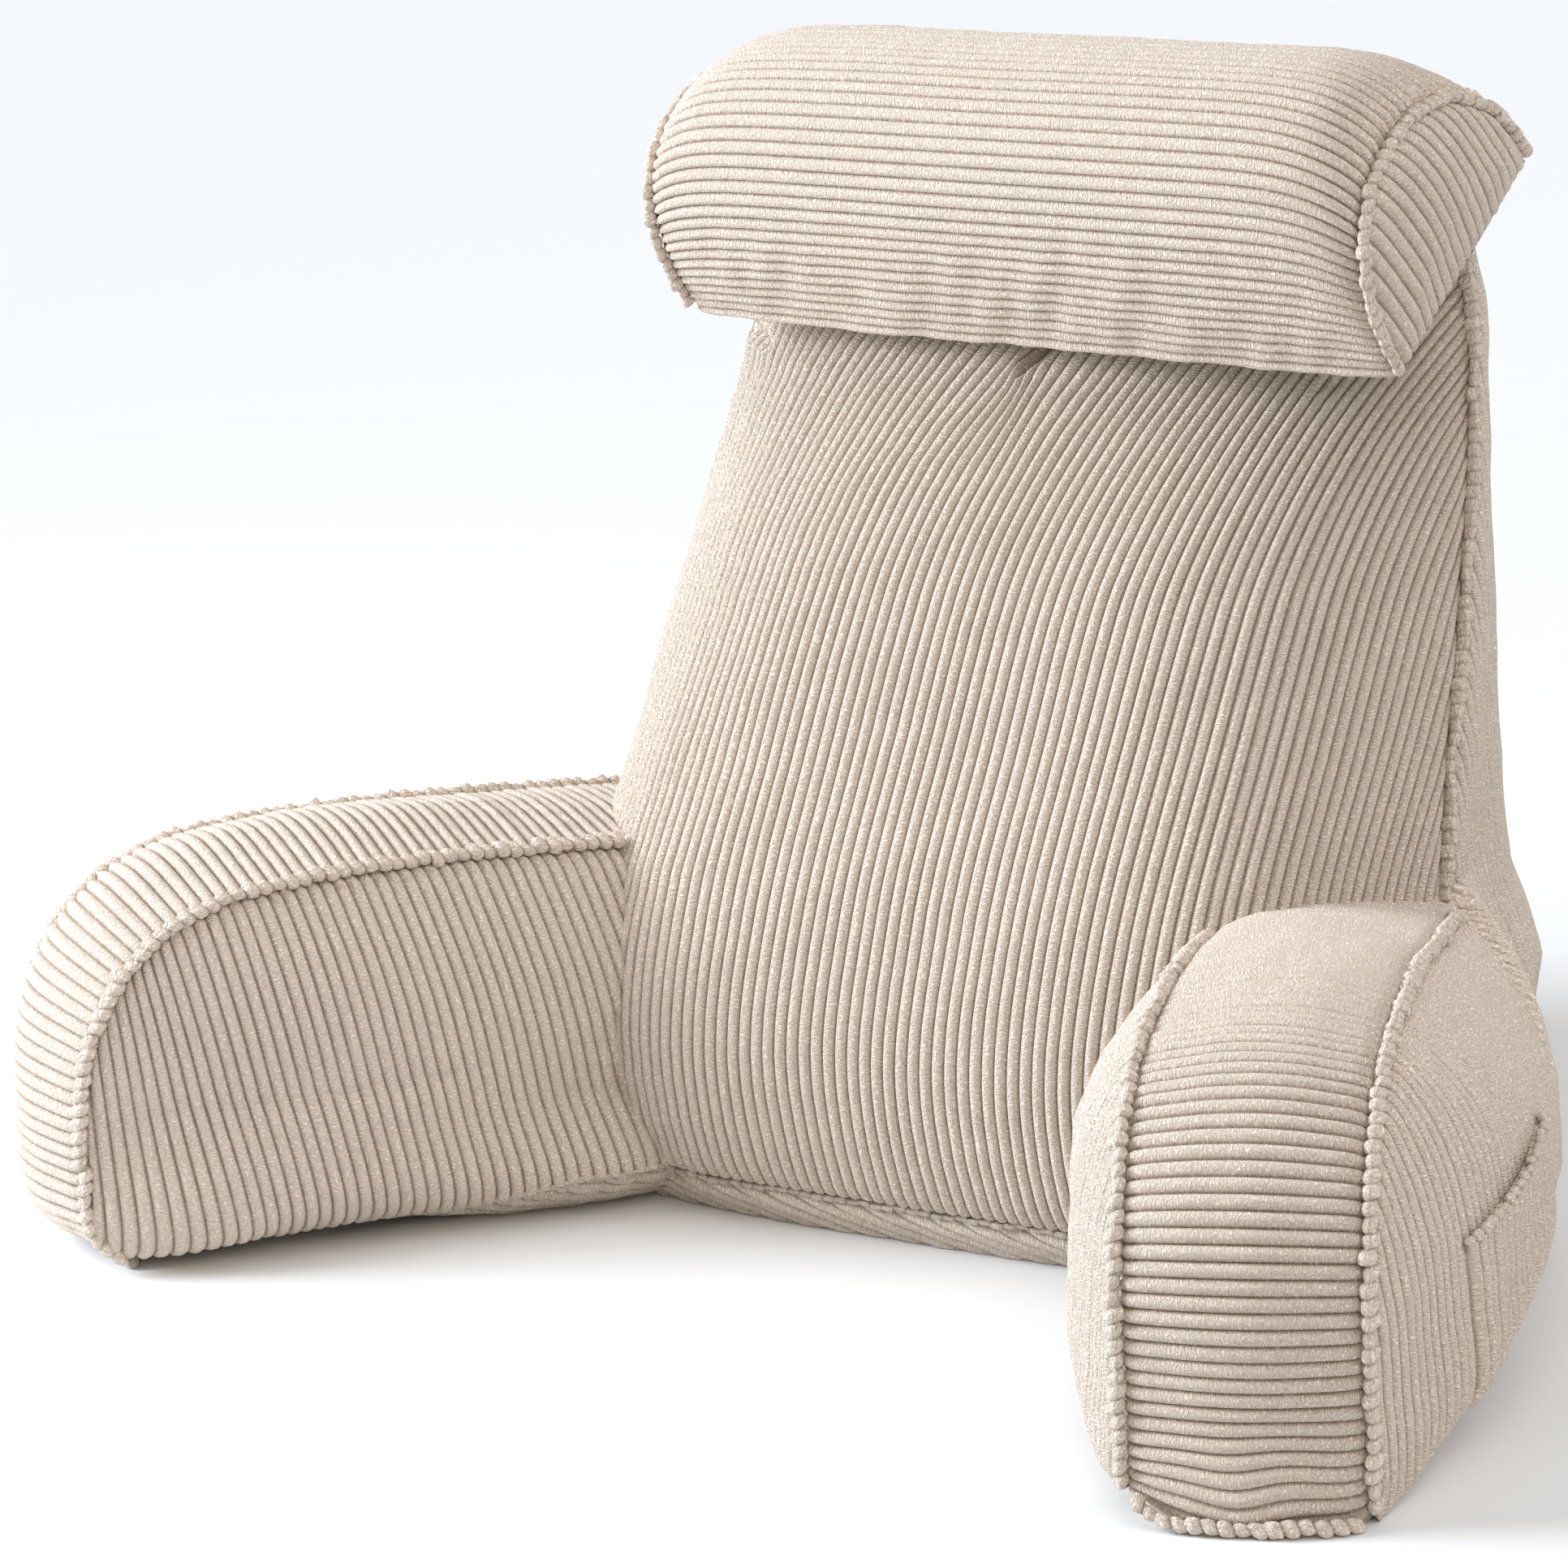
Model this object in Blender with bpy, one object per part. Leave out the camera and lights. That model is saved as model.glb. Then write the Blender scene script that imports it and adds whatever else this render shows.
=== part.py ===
"""A reading pillow with two arms, an arm pocket and a half-round neck roll.

Metres, +Z up. The sitter faces -Y and the pillow stands on Z = 0. Every filled part is one
solid, and every raised seam is a cord of its own that lies just off the cloth it closes.
"""

import math

import bmesh
import bpy
import numpy as np
from mathutils import Matrix, Vector

SEAT = (0.0293, 0.0673, 0.0)  # middle of the seat, so that the origin is under the whole pillow
GAP = 0.0004  # between parts that touch

# Arms: `along` runs from the backrest to the front, `across` from the inner seam outwards.
ARM_WIDTH = 0.110  # between the two seams of an arm
ARM_LENGTH = 0.292
ARM_REAR = -0.125  # the arm starts this far inside the backrest
ARM_OUTER_START = -0.077  # the outer seam starts behind the inner one, at the backrest's seam
ARM_OUTER_HEIGHT = 0.167
ARM_REAR_HEIGHT = 0.177
ARM_TOP_HEIGHT = 0.188
ARM_TOP_ALONG = 0.175  # where the top starts to curve down to the front
ARM_FRONT_HEIGHT = 0.058  # where the curve has come down to the upright front
ARM_CORNER_POWER = 0.86  # below 1 the front corner is fuller than an ellipse
ARM_FOOT_RADII = {"right": 0.008, "left": 0.036}  # the front's lower edge is rounded
ARM_CROWN = 0.009  # the strip over the arm rises this much between its seams
CROWN_FADE_HEIGHT = 0.04  # the rise fades out below this, down to the flat base
ARM_MIDDLE = (0.065, 0.088)  # along, height: the fullest place of both faces
ARM_BULGES = {"inner": 0.046, "outer": 0.058}
ARM_LOW_FULLNESS = {  # extra power of the faces' bulge next to the floor
    ("right", "inner"): 0.6,
    ("right", "outer"): 0.2,
    ("left", "inner"): 2.6,
    ("left", "outer"): 1.0,
}
ARMS = {  # side: seam's start across and along the seat, and the angle it opens to
    "right": (0.1745, -0.0895, 19.3),
    "left": (-0.1780, -0.0825, 35.0),
}

# The backrest, from the floor up. Squareness says how flat the front is before it turns back
# to its side seams: 2 is an ellipse. Belly is how much the sides swell behind the seams.
BACK_LEVELS = (
    # side seam x, y, z       front y, z      back y, z     squareness, belly
    (0.220, 0.000, 0.000, -0.117, 0.000, 0.195, 0.000, 5.0, 0.04),
    (0.236, -0.004, 0.022, -0.130, 0.022, 0.215, 0.022, 5.5, 0.06),
    (0.244, 0.002, 0.080, -0.136, 0.080, 0.236, 0.080, 6.0, 0.12),
    (0.241, 0.028, 0.165, -0.103, 0.160, 0.240, 0.180, 5.5, 0.12),
    (0.231, 0.066, 0.236, -0.050, 0.240, 0.240, 0.250, 4.2, 0.08),
    (0.220, 0.110, 0.312, 0.006, 0.316, 0.238, 0.330, 3.4, 0.04),
    (0.212, 0.138, 0.375, 0.060, 0.369, 0.237, 0.400, 3.0, 0.02),
    (0.206, 0.153, 0.418, 0.115, 0.408, 0.235, 0.455, 2.8, 0.01),
    (0.190, 0.170, 0.4644, 0.157, 0.4575, 0.222, 0.4922, 2.5, 0.00),
)
BACK_PLAN_POWER = 0.86  # below 1 the sides and the back are fuller than an ellipse

# The neck roll: a half-moon that lies with its flat side on the top of the backrest.
ROLL_HALF_LENGTH = 0.204
ROLL_SHIFT = 0.0035  # the roll lies this far to the right of the middle
ROLL_BACK_EDGE = (0.2224, 0.4930)  # y, z of the flat side's rear edge
ROLL_FRONT_EDGE = (0.0790, 0.4164)  # y, z of its front edge
ROLL_RISE = 0.098
ROLL_LEAN = 0.36  # the round side leans this far to the front edge
ROLL_FULLNESS = 0.82
ROLL_TURN = -3.8  # degrees, on the backrest's top
ROLL_SWELL_UP = 0.26  # the roll is this much higher in the middle than at its ends
ROLL_SWELL_SIDE = 0.5  # and the right half is that much fuller than the left one
ROLL_SWELL_POWER = 10  # how near to the ends the swell reaches
ROLL_SWELL_WIDE = 0.03
ROLL_END_BULGE = 0.003

SEAM_RADIUS = 0.0040
SEAM_STAND_OFF = 0.0008  # from the edge of the solid to the cord
FOOT_SEAM_STAND_OFF = 0.0003

SEAM_END_HEIGHT = 0.008  # the arms' seams stop this high above the floor

SEAM_STARTS = {  # how far along the seam each cord leaves the backrest
    ("right", "inner"): 0.098,
    ("right", "outer"): 0.016,
    ("left", "inner"): 0.098,
    ("left", "outer"): 0.062,
}

POCKET_ALONG = (0.088, 0.208)
POCKET_BOTTOM = 0.022
POCKET_MOUTH_HEIGHTS = (0.110, 0.094)  # at the pocket's rear and front edge
POCKET_THICKNESS = 0.0024
POCKET_LIFT = 0.0024  # from the arm's face to the patch
POCKET_BINDING_RADIUS = 0.0026
BINDING_STAND_OFF = 0.0006  # from the arm's face to the binding, and from the patch to it

BACK_SEAM_HEIGHTS = (0.190, 0.428)  # between the arms and the neck roll

CLOTH = (0.66, 0.57, 0.48, 1.0)
SEAM_CLOTH = (0.70, 0.61, 0.52, 1.0)


def clear_scene():
    for old in list(bpy.data.objects):
        bpy.data.objects.remove(old, do_unlink=True)


def new_collection(name):
    collection = bpy.data.collections.new(name)
    bpy.context.scene.collection.children.link(collection)
    return collection


def cloth_material(name, colour):
    material = bpy.data.materials.new(name)
    material.use_nodes = True
    shader = material.node_tree.nodes["Principled BSDF"]
    shader.inputs["Base Color"].default_value = colour
    shader.inputs["Roughness"].default_value = 0.92
    shader.inputs["Metallic"].default_value = 0.0
    return material


def smooth_path(points, count):
    """`count` points on the curve that runs evenly through all of `points`."""
    points = np.asarray(points, float)
    steps = np.linalg.norm(np.diff(points, axis=0), axis=1)
    reach = np.concatenate([[0.0], np.cumsum(steps)])
    slopes = np.gradient(points, reach, axis=0)
    places = np.linspace(0.0, reach[-1], count)
    first = np.clip(np.searchsorted(reach, places, "right") - 1, 0, len(points) - 2)
    span = (reach[first + 1] - reach[first])[:, None]
    t = ((places - reach[first])[:, None]) / span
    start, end = points[first], points[first + 1]
    leave, arrive = slopes[first] * span, slopes[first + 1] * span
    return (
        (2 * t**3 - 3 * t**2 + 1) * start
        + (t**3 - 2 * t**2 + t) * leave
        + (3 * t**2 - 2 * t**3) * end
        + (t**3 - t**2) * arrive
    )


# ---------------------------------------------------------------- outlines


def arm_top_and_front(side, count):
    """An arm's seam seen from the side, (along, height), from the backrest to the floor."""
    round_along = ARM_LENGTH - ARM_TOP_ALONG
    round_height = ARM_TOP_HEIGHT - ARM_FRONT_HEIGHT
    saddle = (0.085, 0.5 * (ARM_REAR_HEIGHT + ARM_TOP_HEIGHT) + 0.003)
    top = [(ARM_OUTER_START, ARM_OUTER_HEIGHT), (0.0, ARM_REAR_HEIGHT), saddle]
    corner = [
        (
            ARM_TOP_ALONG + round_along * math.cos(angle) ** ARM_CORNER_POWER,
            ARM_FRONT_HEIGHT + round_height * math.sin(angle) ** ARM_CORNER_POWER,
        )
        for angle in np.radians(np.linspace(90, 0, 9))
    ]
    radius = ARM_FOOT_RADII[side]
    foot = [
        (
            ARM_LENGTH - radius * (1.0 - math.cos(angle)),
            radius * (1.0 - math.sin(angle)),
        )
        for angle in np.radians(np.linspace(10, 90, 4))
    ]
    return smooth_path(top + corner + foot, count)


def arm_outline(side, count=46):
    """The whole outline of an arm as a closed ring, rear edge and floor included."""
    top = arm_top_and_front(side, count)
    rear = [(ARM_REAR, 0.0), (ARM_REAR, 0.6 * ARM_OUTER_HEIGHT)]
    rear += [(ARM_REAR, ARM_OUTER_HEIGHT - 0.02), (ARM_REAR + 0.02, ARM_OUTER_HEIGHT - 0.002)]
    floor_places = np.linspace(ARM_LENGTH - ARM_FOOT_RADII[side], ARM_REAR, 9)[1:-1]
    floor = [(along, 0.0) for along in floor_places]
    return np.array(rear + [tuple(point) for point in top] + floor)


def arm_bulge(side, face, scale, outline_height):
    """How far a face stands out at `scale` of the way from its middle to its outline."""
    low = np.clip(1.0 - outline_height / ARM_MIDDLE[1], 0.0, 1.0)
    power = 2.0 + ARM_LOW_FULLNESS[side, face] * low
    return ARM_BULGES[face] * (1.0 - scale**power)


def outline_normals(outline):
    """Unit vectors that point out of a ring which runs clockwise, rear to front to floor."""
    ahead = np.roll(outline, -1, axis=0) - np.roll(outline, 1, axis=0)
    normals = np.stack([-ahead[:, 1], ahead[:, 0]], axis=1)
    return normals / np.linalg.norm(normals, axis=1)[:, None]


def roll_outline(count=29):
    """The roll's end, (y, z): the round side from the rear edge to the front edge."""
    rear, front = np.array(ROLL_BACK_EDGE), np.array(ROLL_FRONT_EDGE)
    middle, half = (rear + front) / 2, (front - rear) / 2
    rise = np.array([half[1], -half[0]]) / np.linalg.norm(half)
    angles = np.linspace(0.0, math.pi, count)
    height = np.clip(np.sin(angles), 0.0, 1.0) ** ROLL_FULLNESS
    lean = ROLL_LEAN * np.sin(angles)
    along = (lean - np.cos(angles))[:, None] * half
    return middle + along + ROLL_RISE * height[:, None] * rise


# ---------------------------------------------------------------- solids


def object_from_rings(name, rings, material, collection, parent):
    """One closed solid through `rings` of equal length, with a fan at either end."""
    mesh_builder = bmesh.new()
    layers = [[mesh_builder.verts.new(point) for point in ring] for ring in rings]
    for lower, upper in zip(layers, layers[1:]):
        for index in range(len(lower)):
            after = (index + 1) % len(lower)
            mesh_builder.faces.new((lower[index], lower[after], upper[after], upper[index]))
    for layer in (layers[0], layers[-1]):
        centre = sum((vert.co for vert in layer), Vector()) / len(layer)
        hub = mesh_builder.verts.new(centre)
        for index in range(len(layer)):
            mesh_builder.faces.new((layer[index], layer[(index + 1) % len(layer)], hub))
    bmesh.ops.recalc_face_normals(mesh_builder, faces=mesh_builder.faces)
    mesh = bpy.data.meshes.new(name)
    mesh_builder.to_mesh(mesh)
    mesh_builder.free()
    mesh.shade_smooth()
    return place(bpy.data.objects.new(name, mesh), material, collection, parent)


def place(thing, material, collection, parent):
    thing.data.materials.append(material)
    collection.objects.link(thing)
    thing.parent = parent
    return thing


def back_rings(extra=0.0, levels=26, front_points=24, rear_points=30):
    """Rings of the backrest, from the floor up, each moved out by `extra`."""
    table = smooth_path(np.array(BACK_LEVELS), levels)
    table[:, (2, 4, 6)] = np.maximum(table[:, (2, 4, 6)], 0.0)
    rings = []
    for side_x, side_y, side_z, front_y, front_z, back_y, back_z, squareness, belly in table:
        ring = []
        for turn in np.radians(np.linspace(-90.0, 90.0, front_points, endpoint=False)):
            place_across = math.sin(turn)
            bow = 1.0 - abs(place_across) ** squareness
            y = side_y + (front_y - extra - side_y) * bow
            z = side_z + (front_z - side_z) * bow
            ring.append((place_across * (side_x + extra), y, z))
        for angle in np.radians(np.linspace(0.0, 180.0, rear_points, endpoint=False)):
            swing = math.copysign(abs(math.cos(angle)) ** BACK_PLAN_POWER, math.cos(angle))
            depth = math.sin(angle) ** BACK_PLAN_POWER
            y = side_y + (back_y + extra - side_y) * depth
            z = side_z + (back_z - side_z) * depth
            swell = 1.0 + belly * math.sin(2.0 * min(angle, math.pi - angle))
            ring.append((swing * swell * (side_x + extra), y, z))
        rings.append(ring)
    return rings


def arm_frame(side):
    """The matrix from (along, across, height) to the seat's frame."""
    x, y, opening = ARMS[side]
    sign = 1.0 if side == "right" else -1.0
    angle = math.radians(opening)
    forward = (sign * math.sin(angle), -math.cos(angle))
    outward = (sign * math.cos(angle), math.sin(angle))
    return Matrix(
        (
            (forward[0], outward[0], 0.0, x),
            (forward[1], outward[1], 0.0, y),
            (0.0, 0.0, 1.0, 0.0),
            (0.0, 0.0, 0.0, 1.0),
        )
    )


def arm_rings(side):
    """Sections of an arm from its inner face, over the strip, to its outer face."""
    outline = arm_outline(side)
    normals = outline_normals(outline)
    middle = np.array(ARM_MIDDLE)
    sections = []
    for scale in (0.25, 0.5, 0.7, 0.86, 0.95):
        across = -arm_bulge(side, "inner", scale, outline[:, 1])
        sections.append((across, middle + (outline - middle) * scale))
    for share in np.linspace(0.0, 1.0, 7):
        crown = ARM_CROWN * math.sin(math.pi * share)
        near_floor = np.clip(outline[:, 1] / CROWN_FADE_HEIGHT, 0.0, 1.0)
        grown = outline + crown * near_floor[:, None] * normals
        sections.append((np.full(len(outline), share * ARM_WIDTH), grown))
    for scale in (0.95, 0.86, 0.7, 0.5, 0.25):
        across = ARM_WIDTH + arm_bulge(side, "outer", scale, outline[:, 1])
        sections.append((across, middle + (outline - middle) * scale))
    frame = arm_frame(side)
    return [
        [
            frame @ Vector((along, place_across, max(height, 0.0)))
            for place_across, (along, height) in zip(across, section)
        ]
        for across, section in sections
    ]


def cut_with(thing, cutter):
    cut = thing.modifiers.new("meets_backrest", "BOOLEAN")
    cut.operation = "DIFFERENCE"
    cut.object = cutter
    cut.solver = "EXACT"


def roll_rings(sections=13):
    """Sections of the neck roll from end to end. Its flat side stays in one plane."""
    outline = roll_outline()
    rear, front = np.array(ROLL_BACK_EDGE), np.array(ROLL_FRONT_EDGE)
    middle = (rear + front) / 2
    ahead = (front - rear) / np.linalg.norm(front - rear)
    up = np.array([ahead[1], -ahead[0]])
    flat = [front + (rear - front) * share for share in np.linspace(0.0, 1.0, 9)[1:-1]]
    outline = np.concatenate([outline, flat])
    belly = outline.mean(axis=0)
    rings = []
    for scale in (0.35, 0.7, 0.93):
        bulge = ROLL_END_BULGE * (1.0 - scale**2)
        rings.append((-ROLL_HALF_LENGTH - bulge, belly + (outline - belly) * scale))
    for place_along in np.linspace(-1.0, 1.0, sections):
        full = (1.0 - place_along**ROLL_SWELL_POWER) * (1.0 + ROLL_SWELL_SIDE * place_along)
        higher = ROLL_SWELL_UP * full * ((outline - middle) @ up)[:, None] * up
        wider = ROLL_SWELL_WIDE * full * ((outline - middle) @ ahead)[:, None] * ahead
        rings.append((place_along * ROLL_HALF_LENGTH, outline + higher + wider))
    for scale in (0.93, 0.7, 0.35):
        bulge = ROLL_END_BULGE * (1.0 - scale**2)
        rings.append((ROLL_HALF_LENGTH + bulge, belly + (outline - belly) * scale))
    turn = roll_turn()
    return [[turn @ Vector((x, y, z)) for y, z in section] for x, section in rings]


def roll_turn():
    """The roll's small turn about the normal of the plane it lies on."""
    rear, front = Vector((0.0, *ROLL_BACK_EDGE)), Vector((0.0, *ROLL_FRONT_EDGE))
    pivot = (rear + front) / 2
    normal = Vector((0.0, (front - rear).z, -(front - rear).y)).normalized()
    spin = Matrix.Rotation(math.radians(ROLL_TURN), 4, normal)
    place_of_roll = pivot + Vector((ROLL_SHIFT, 0.0, 0.0))
    return Matrix.Translation(place_of_roll) @ spin @ Matrix.Translation(-pivot)


# ---------------------------------------------------------------- seams and pocket


def cord(name, points, radius, material, collection, parent):
    """A round cord with closed ends through `points`."""
    curve = bpy.data.curves.new(name, "CURVE")
    curve.dimensions = "3D"
    curve.bevel_depth = radius
    curve.bevel_resolution = 2
    curve.use_fill_caps = True
    spline = curve.splines.new("POLY")
    spline.points.add(len(points) - 1)
    for target, point in zip(spline.points, points):
        target.co = (*point, 1.0)
    return place(bpy.data.objects.new(name, curve), material, collection, parent)


def arm_seam(side, edge, count=36):
    """A cord's path along one seam of an arm, from near the backrest to the floor."""
    first = SEAM_STARTS[side, edge]
    outline = arm_top_and_front(side, 160)
    outline = outline[outline[:, 1] > SEAM_END_HEIGHT]
    steps = np.linalg.norm(np.diff(outline, axis=0), axis=1)
    reach = np.concatenate([[0.0], np.cumsum(steps)])
    height_limit = SEAM_RADIUS + GAP
    wanted = np.linspace(first, reach[-1], count)
    path = np.stack([np.interp(wanted, reach, outline[:, k]) for k in (0, 1)], axis=1)
    ahead = np.gradient(path, axis=0)
    out = np.stack([-ahead[:, 1], ahead[:, 0]], axis=1)
    out /= np.linalg.norm(out, axis=1)[:, None]
    sideways = -1.0 if edge == "inner" else 1.0
    across = 0.0 if edge == "inner" else ARM_WIDTH
    lean = math.radians(50)
    reach_out = SEAM_RADIUS + SEAM_STAND_OFF
    frame = arm_frame(side)
    points = []
    for (along, height), (out_along, out_height) in zip(path, out):
        point = Vector(
            (
                along + reach_out * math.sin(lean) * out_along,
                across + sideways * reach_out * math.cos(lean),
                max(height + reach_out * math.sin(lean) * out_height, height_limit),
            )
        )
        points.append(frame @ point)
    return points


def back_seam(side, count=24):
    """A cord's path up one side seam of the backrest, from the arm to the top corner."""
    table = smooth_path(np.array(BACK_LEVELS), 120)[:, :3]
    low, high = BACK_SEAM_HEIGHTS
    seam = table[(table[:, 2] > low) & (table[:, 2] < high)]
    picked = seam[np.linspace(0, len(seam) - 1, count).astype(int)]
    sign = 1.0 if side == "right" else -1.0
    out = Vector((0.90, -0.36, 0.22)).normalized() * (SEAM_RADIUS + SEAM_STAND_OFF)
    return [Vector((sign * (x + out.x), y + out.y, z + out.z)) for x, y, z in picked]


def roll_seam(side, count=26):
    """A cord's path round the arc of one end of the neck roll."""
    outline = smooth_path(roll_outline(61), count)
    ahead = np.gradient(outline, axis=0)
    out = np.stack([ahead[:, 1], -ahead[:, 0]], axis=1)
    out /= np.linalg.norm(out, axis=1)[:, None]
    belly = roll_outline().mean(axis=0)
    if np.sum((outline[len(outline) // 2] - belly) * out[len(outline) // 2]) < 0:
        out = -out
    sign = 1.0 if side == "right" else -1.0
    reach = SEAM_RADIUS + SEAM_STAND_OFF
    turn = roll_turn()
    x = sign * (ROLL_HALF_LENGTH + 0.62 * reach)
    return [
        turn @ Vector((x, y + 0.8 * reach * out_y, z + 0.8 * reach * out_z))
        for (y, z), (out_y, out_z) in zip(outline[1:-1], out[1:-1])
    ]


def foot_seam(side, count=8):
    """A cord's path across the front of an arm at the floor, as near to the arm as it may be."""
    height = SEAM_RADIUS + GAP
    foot = arm_top_and_front(side, 46)[-8:]
    along = ARM_LENGTH + 4 * SEAM_RADIUS
    while clearance((along, height), foot) > SEAM_RADIUS + FOOT_SEAM_STAND_OFF:
        along -= 0.0001
    inset = 2.2 * SEAM_RADIUS
    crown = ARM_CROWN * 2.5 * height / CROWN_FADE_HEIGHT
    frame = arm_frame(side)
    points = []
    for across in np.linspace(inset, ARM_WIDTH - inset, count):
        bow = crown * math.sin(math.pi * across / ARM_WIDTH)
        points.append(frame @ Vector((along + bow, across, height)))
    return points


def clearance(point, path):
    """The distance from a point to a path of straight steps."""
    starts, steps = path[:-1], np.diff(path, axis=0)
    offsets = np.array(point) - starts
    shares = np.sum(offsets * steps, axis=1) / np.sum(steps**2, axis=1)
    nearest = starts + np.clip(shares, 0.0, 1.0)[:, None] * steps
    return np.linalg.norm(np.array(point) - nearest, axis=1).min()


def outer_face(along, height):
    """How far across the right arm its outer face lies at a place on the arm's side."""
    outline = arm_outline("right")
    middle = np.array(ARM_MIDDLE)
    rays = outline - middle
    bearings = np.arctan2(rays[:, 1], rays[:, 0])
    order = np.argsort(bearings)
    lengths = np.linalg.norm(rays, axis=1)
    offset = np.array((along, height)) - middle
    bearing = math.atan2(offset[1], offset[0])
    limit = np.interp(bearing, bearings[order], lengths[order], period=2 * math.pi)
    share = min(np.linalg.norm(offset) / limit, 1.0)
    limit_height = middle[1] + limit * math.sin(bearing)
    return ARM_WIDTH + arm_bulge("right", "outer", share, limit_height)


def pocket_object(material, collection, parent, columns=18, rows=7):
    """The pocket patch: a sheet that lies on the outer face of the right arm."""
    frame = arm_frame("right")
    mesh_builder = bmesh.new()
    layers = []
    for offset in (POCKET_LIFT, POCKET_LIFT + POCKET_THICKNESS):
        layers.append([])
        for share in np.linspace(0.0, 1.0, rows):
            row = []
            for along in np.linspace(*POCKET_ALONG, columns):
                height = POCKET_BOTTOM + share * (mouth_height(along) - POCKET_BOTTOM)
                across = outer_face(along, height) + offset
                row.append(mesh_builder.verts.new(frame @ Vector((along, across, height))))
            layers[-1].append(row)
    for layer in layers:
        for low, high in zip(layer, layer[1:]):
            for index in range(columns - 1):
                mesh_builder.faces.new((low[index], low[index + 1], high[index + 1], high[index]))
    borders = [border_of(layer) for layer in layers]
    for index in range(len(borders[0])):
        after = (index + 1) % len(borders[0])
        inner, outer = borders
        mesh_builder.faces.new((inner[index], inner[after], outer[after], outer[index]))
    bmesh.ops.recalc_face_normals(mesh_builder, faces=mesh_builder.faces)
    mesh = bpy.data.meshes.new("pocket")
    mesh_builder.to_mesh(mesh)
    mesh_builder.free()
    mesh.shade_smooth()
    return place(bpy.data.objects.new("pocket", mesh), material, collection, parent)


def border_of(rows):
    """The vertices round the edge of a grid, in order."""
    right = [row[-1] for row in rows[1:-1]]
    left = [row[0] for row in rows[1:-1]]
    return rows[0] + right + rows[-1][::-1] + left[::-1]


def mouth_height(along):
    """How high the pocket's upper edge lies at a place along the arm."""
    return np.interp(along, POCKET_ALONG, POCKET_MOUTH_HEIGHTS)


def pocket_mouth(count=16):
    """A cord's path along the upper edge of the pocket."""
    frame = arm_frame("right")
    points = []
    for along in np.linspace(*POCKET_ALONG, count):
        height = mouth_height(along) + POCKET_BINDING_RADIUS + BINDING_STAND_OFF
        across = outer_face(along, height) + POCKET_BINDING_RADIUS + BINDING_STAND_OFF
        points.append(frame @ Vector((along, across, height)))
    return points


# ---------------------------------------------------------------- the pillow


def build():
    clear_scene()
    pillow = new_collection("reading_pillow")
    cutters = new_collection("cutters")
    seat = bpy.data.objects.new("seat_middle", None)
    seat.location = SEAT
    pillow.objects.link(seat)

    cloth = cloth_material("corduroy", CLOTH)
    seam_cloth = cloth_material("seam_cloth", SEAM_CLOTH)

    object_from_rings("backrest", back_rings(), cloth, pillow, seat)
    room = object_from_rings("room_for_backrest", back_rings(GAP), cloth, cutters, seat)
    room.hide_render = True
    room.display_type = "WIRE"
    for side in ARMS:
        arm = object_from_rings(f"arm_{side}", arm_rings(side), cloth, pillow, seat)
        cut_with(arm, room)
        for edge in ("inner", "outer"):
            name = f"seam_arm_{side}_{edge}"
            cord(name, arm_seam(side, edge), SEAM_RADIUS, seam_cloth, pillow, seat)
        cord(f"seam_foot_{side}", foot_seam(side), SEAM_RADIUS, seam_cloth, pillow, seat)
        cord(f"seam_back_{side}", back_seam(side), SEAM_RADIUS, seam_cloth, pillow, seat)
        cord(f"seam_roll_{side}", roll_seam(side), SEAM_RADIUS, seam_cloth, pillow, seat)
    object_from_rings("neck_roll", roll_rings(), cloth, pillow, seat)
    pocket_object(cloth, pillow, seat)
    cord("pocket_binding", pocket_mouth(), POCKET_BINDING_RADIUS, seam_cloth, pillow, seat)


build()
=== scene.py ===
"""A corduroy reading pillow with two arms, an arm pocket and a half-round neck roll.

Every panel is a sheet of ribbed cloth laid on a smooth form. The forms repeat the sizes of the
solids in the frame: metres, +Z up, with the middle of the seat as their own origin.
"""

import math

import bmesh
import bpy
import numpy as np
from bpy.props import FloatProperty, FloatVectorProperty, PointerProperty
from mathutils import Matrix, Vector
from mathutils.bvhtree import BVHTree


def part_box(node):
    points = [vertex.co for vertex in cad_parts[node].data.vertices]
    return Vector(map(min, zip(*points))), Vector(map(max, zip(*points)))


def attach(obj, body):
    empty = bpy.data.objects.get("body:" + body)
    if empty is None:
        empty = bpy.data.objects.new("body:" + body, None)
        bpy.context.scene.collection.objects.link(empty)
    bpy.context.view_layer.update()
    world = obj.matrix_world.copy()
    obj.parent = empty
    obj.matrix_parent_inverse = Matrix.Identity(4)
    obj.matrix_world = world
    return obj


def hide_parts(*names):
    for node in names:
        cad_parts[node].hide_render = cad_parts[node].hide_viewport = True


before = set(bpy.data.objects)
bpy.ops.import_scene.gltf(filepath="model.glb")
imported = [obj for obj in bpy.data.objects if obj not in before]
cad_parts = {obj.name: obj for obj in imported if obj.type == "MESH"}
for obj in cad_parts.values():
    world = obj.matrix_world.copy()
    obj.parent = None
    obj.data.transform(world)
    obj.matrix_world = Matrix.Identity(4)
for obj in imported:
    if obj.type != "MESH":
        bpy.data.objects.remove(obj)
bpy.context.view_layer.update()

bl_info = {
    "name": "Reading pillow with arms",
    "version": (1, 0, 0),
    "blender": (4, 5, 0),
    "location": "View3D > Sidebar > Pillow",
    "description": "A ribbed reading pillow with two arms, a pocket and a neck roll",
    "category": "Add Mesh",
}

# ---------------------------------------------------------------- sizes shared with the solids

SEAT = (0.0293, 0.0673, 0.0)  # middle of the seat in the frame

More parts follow.
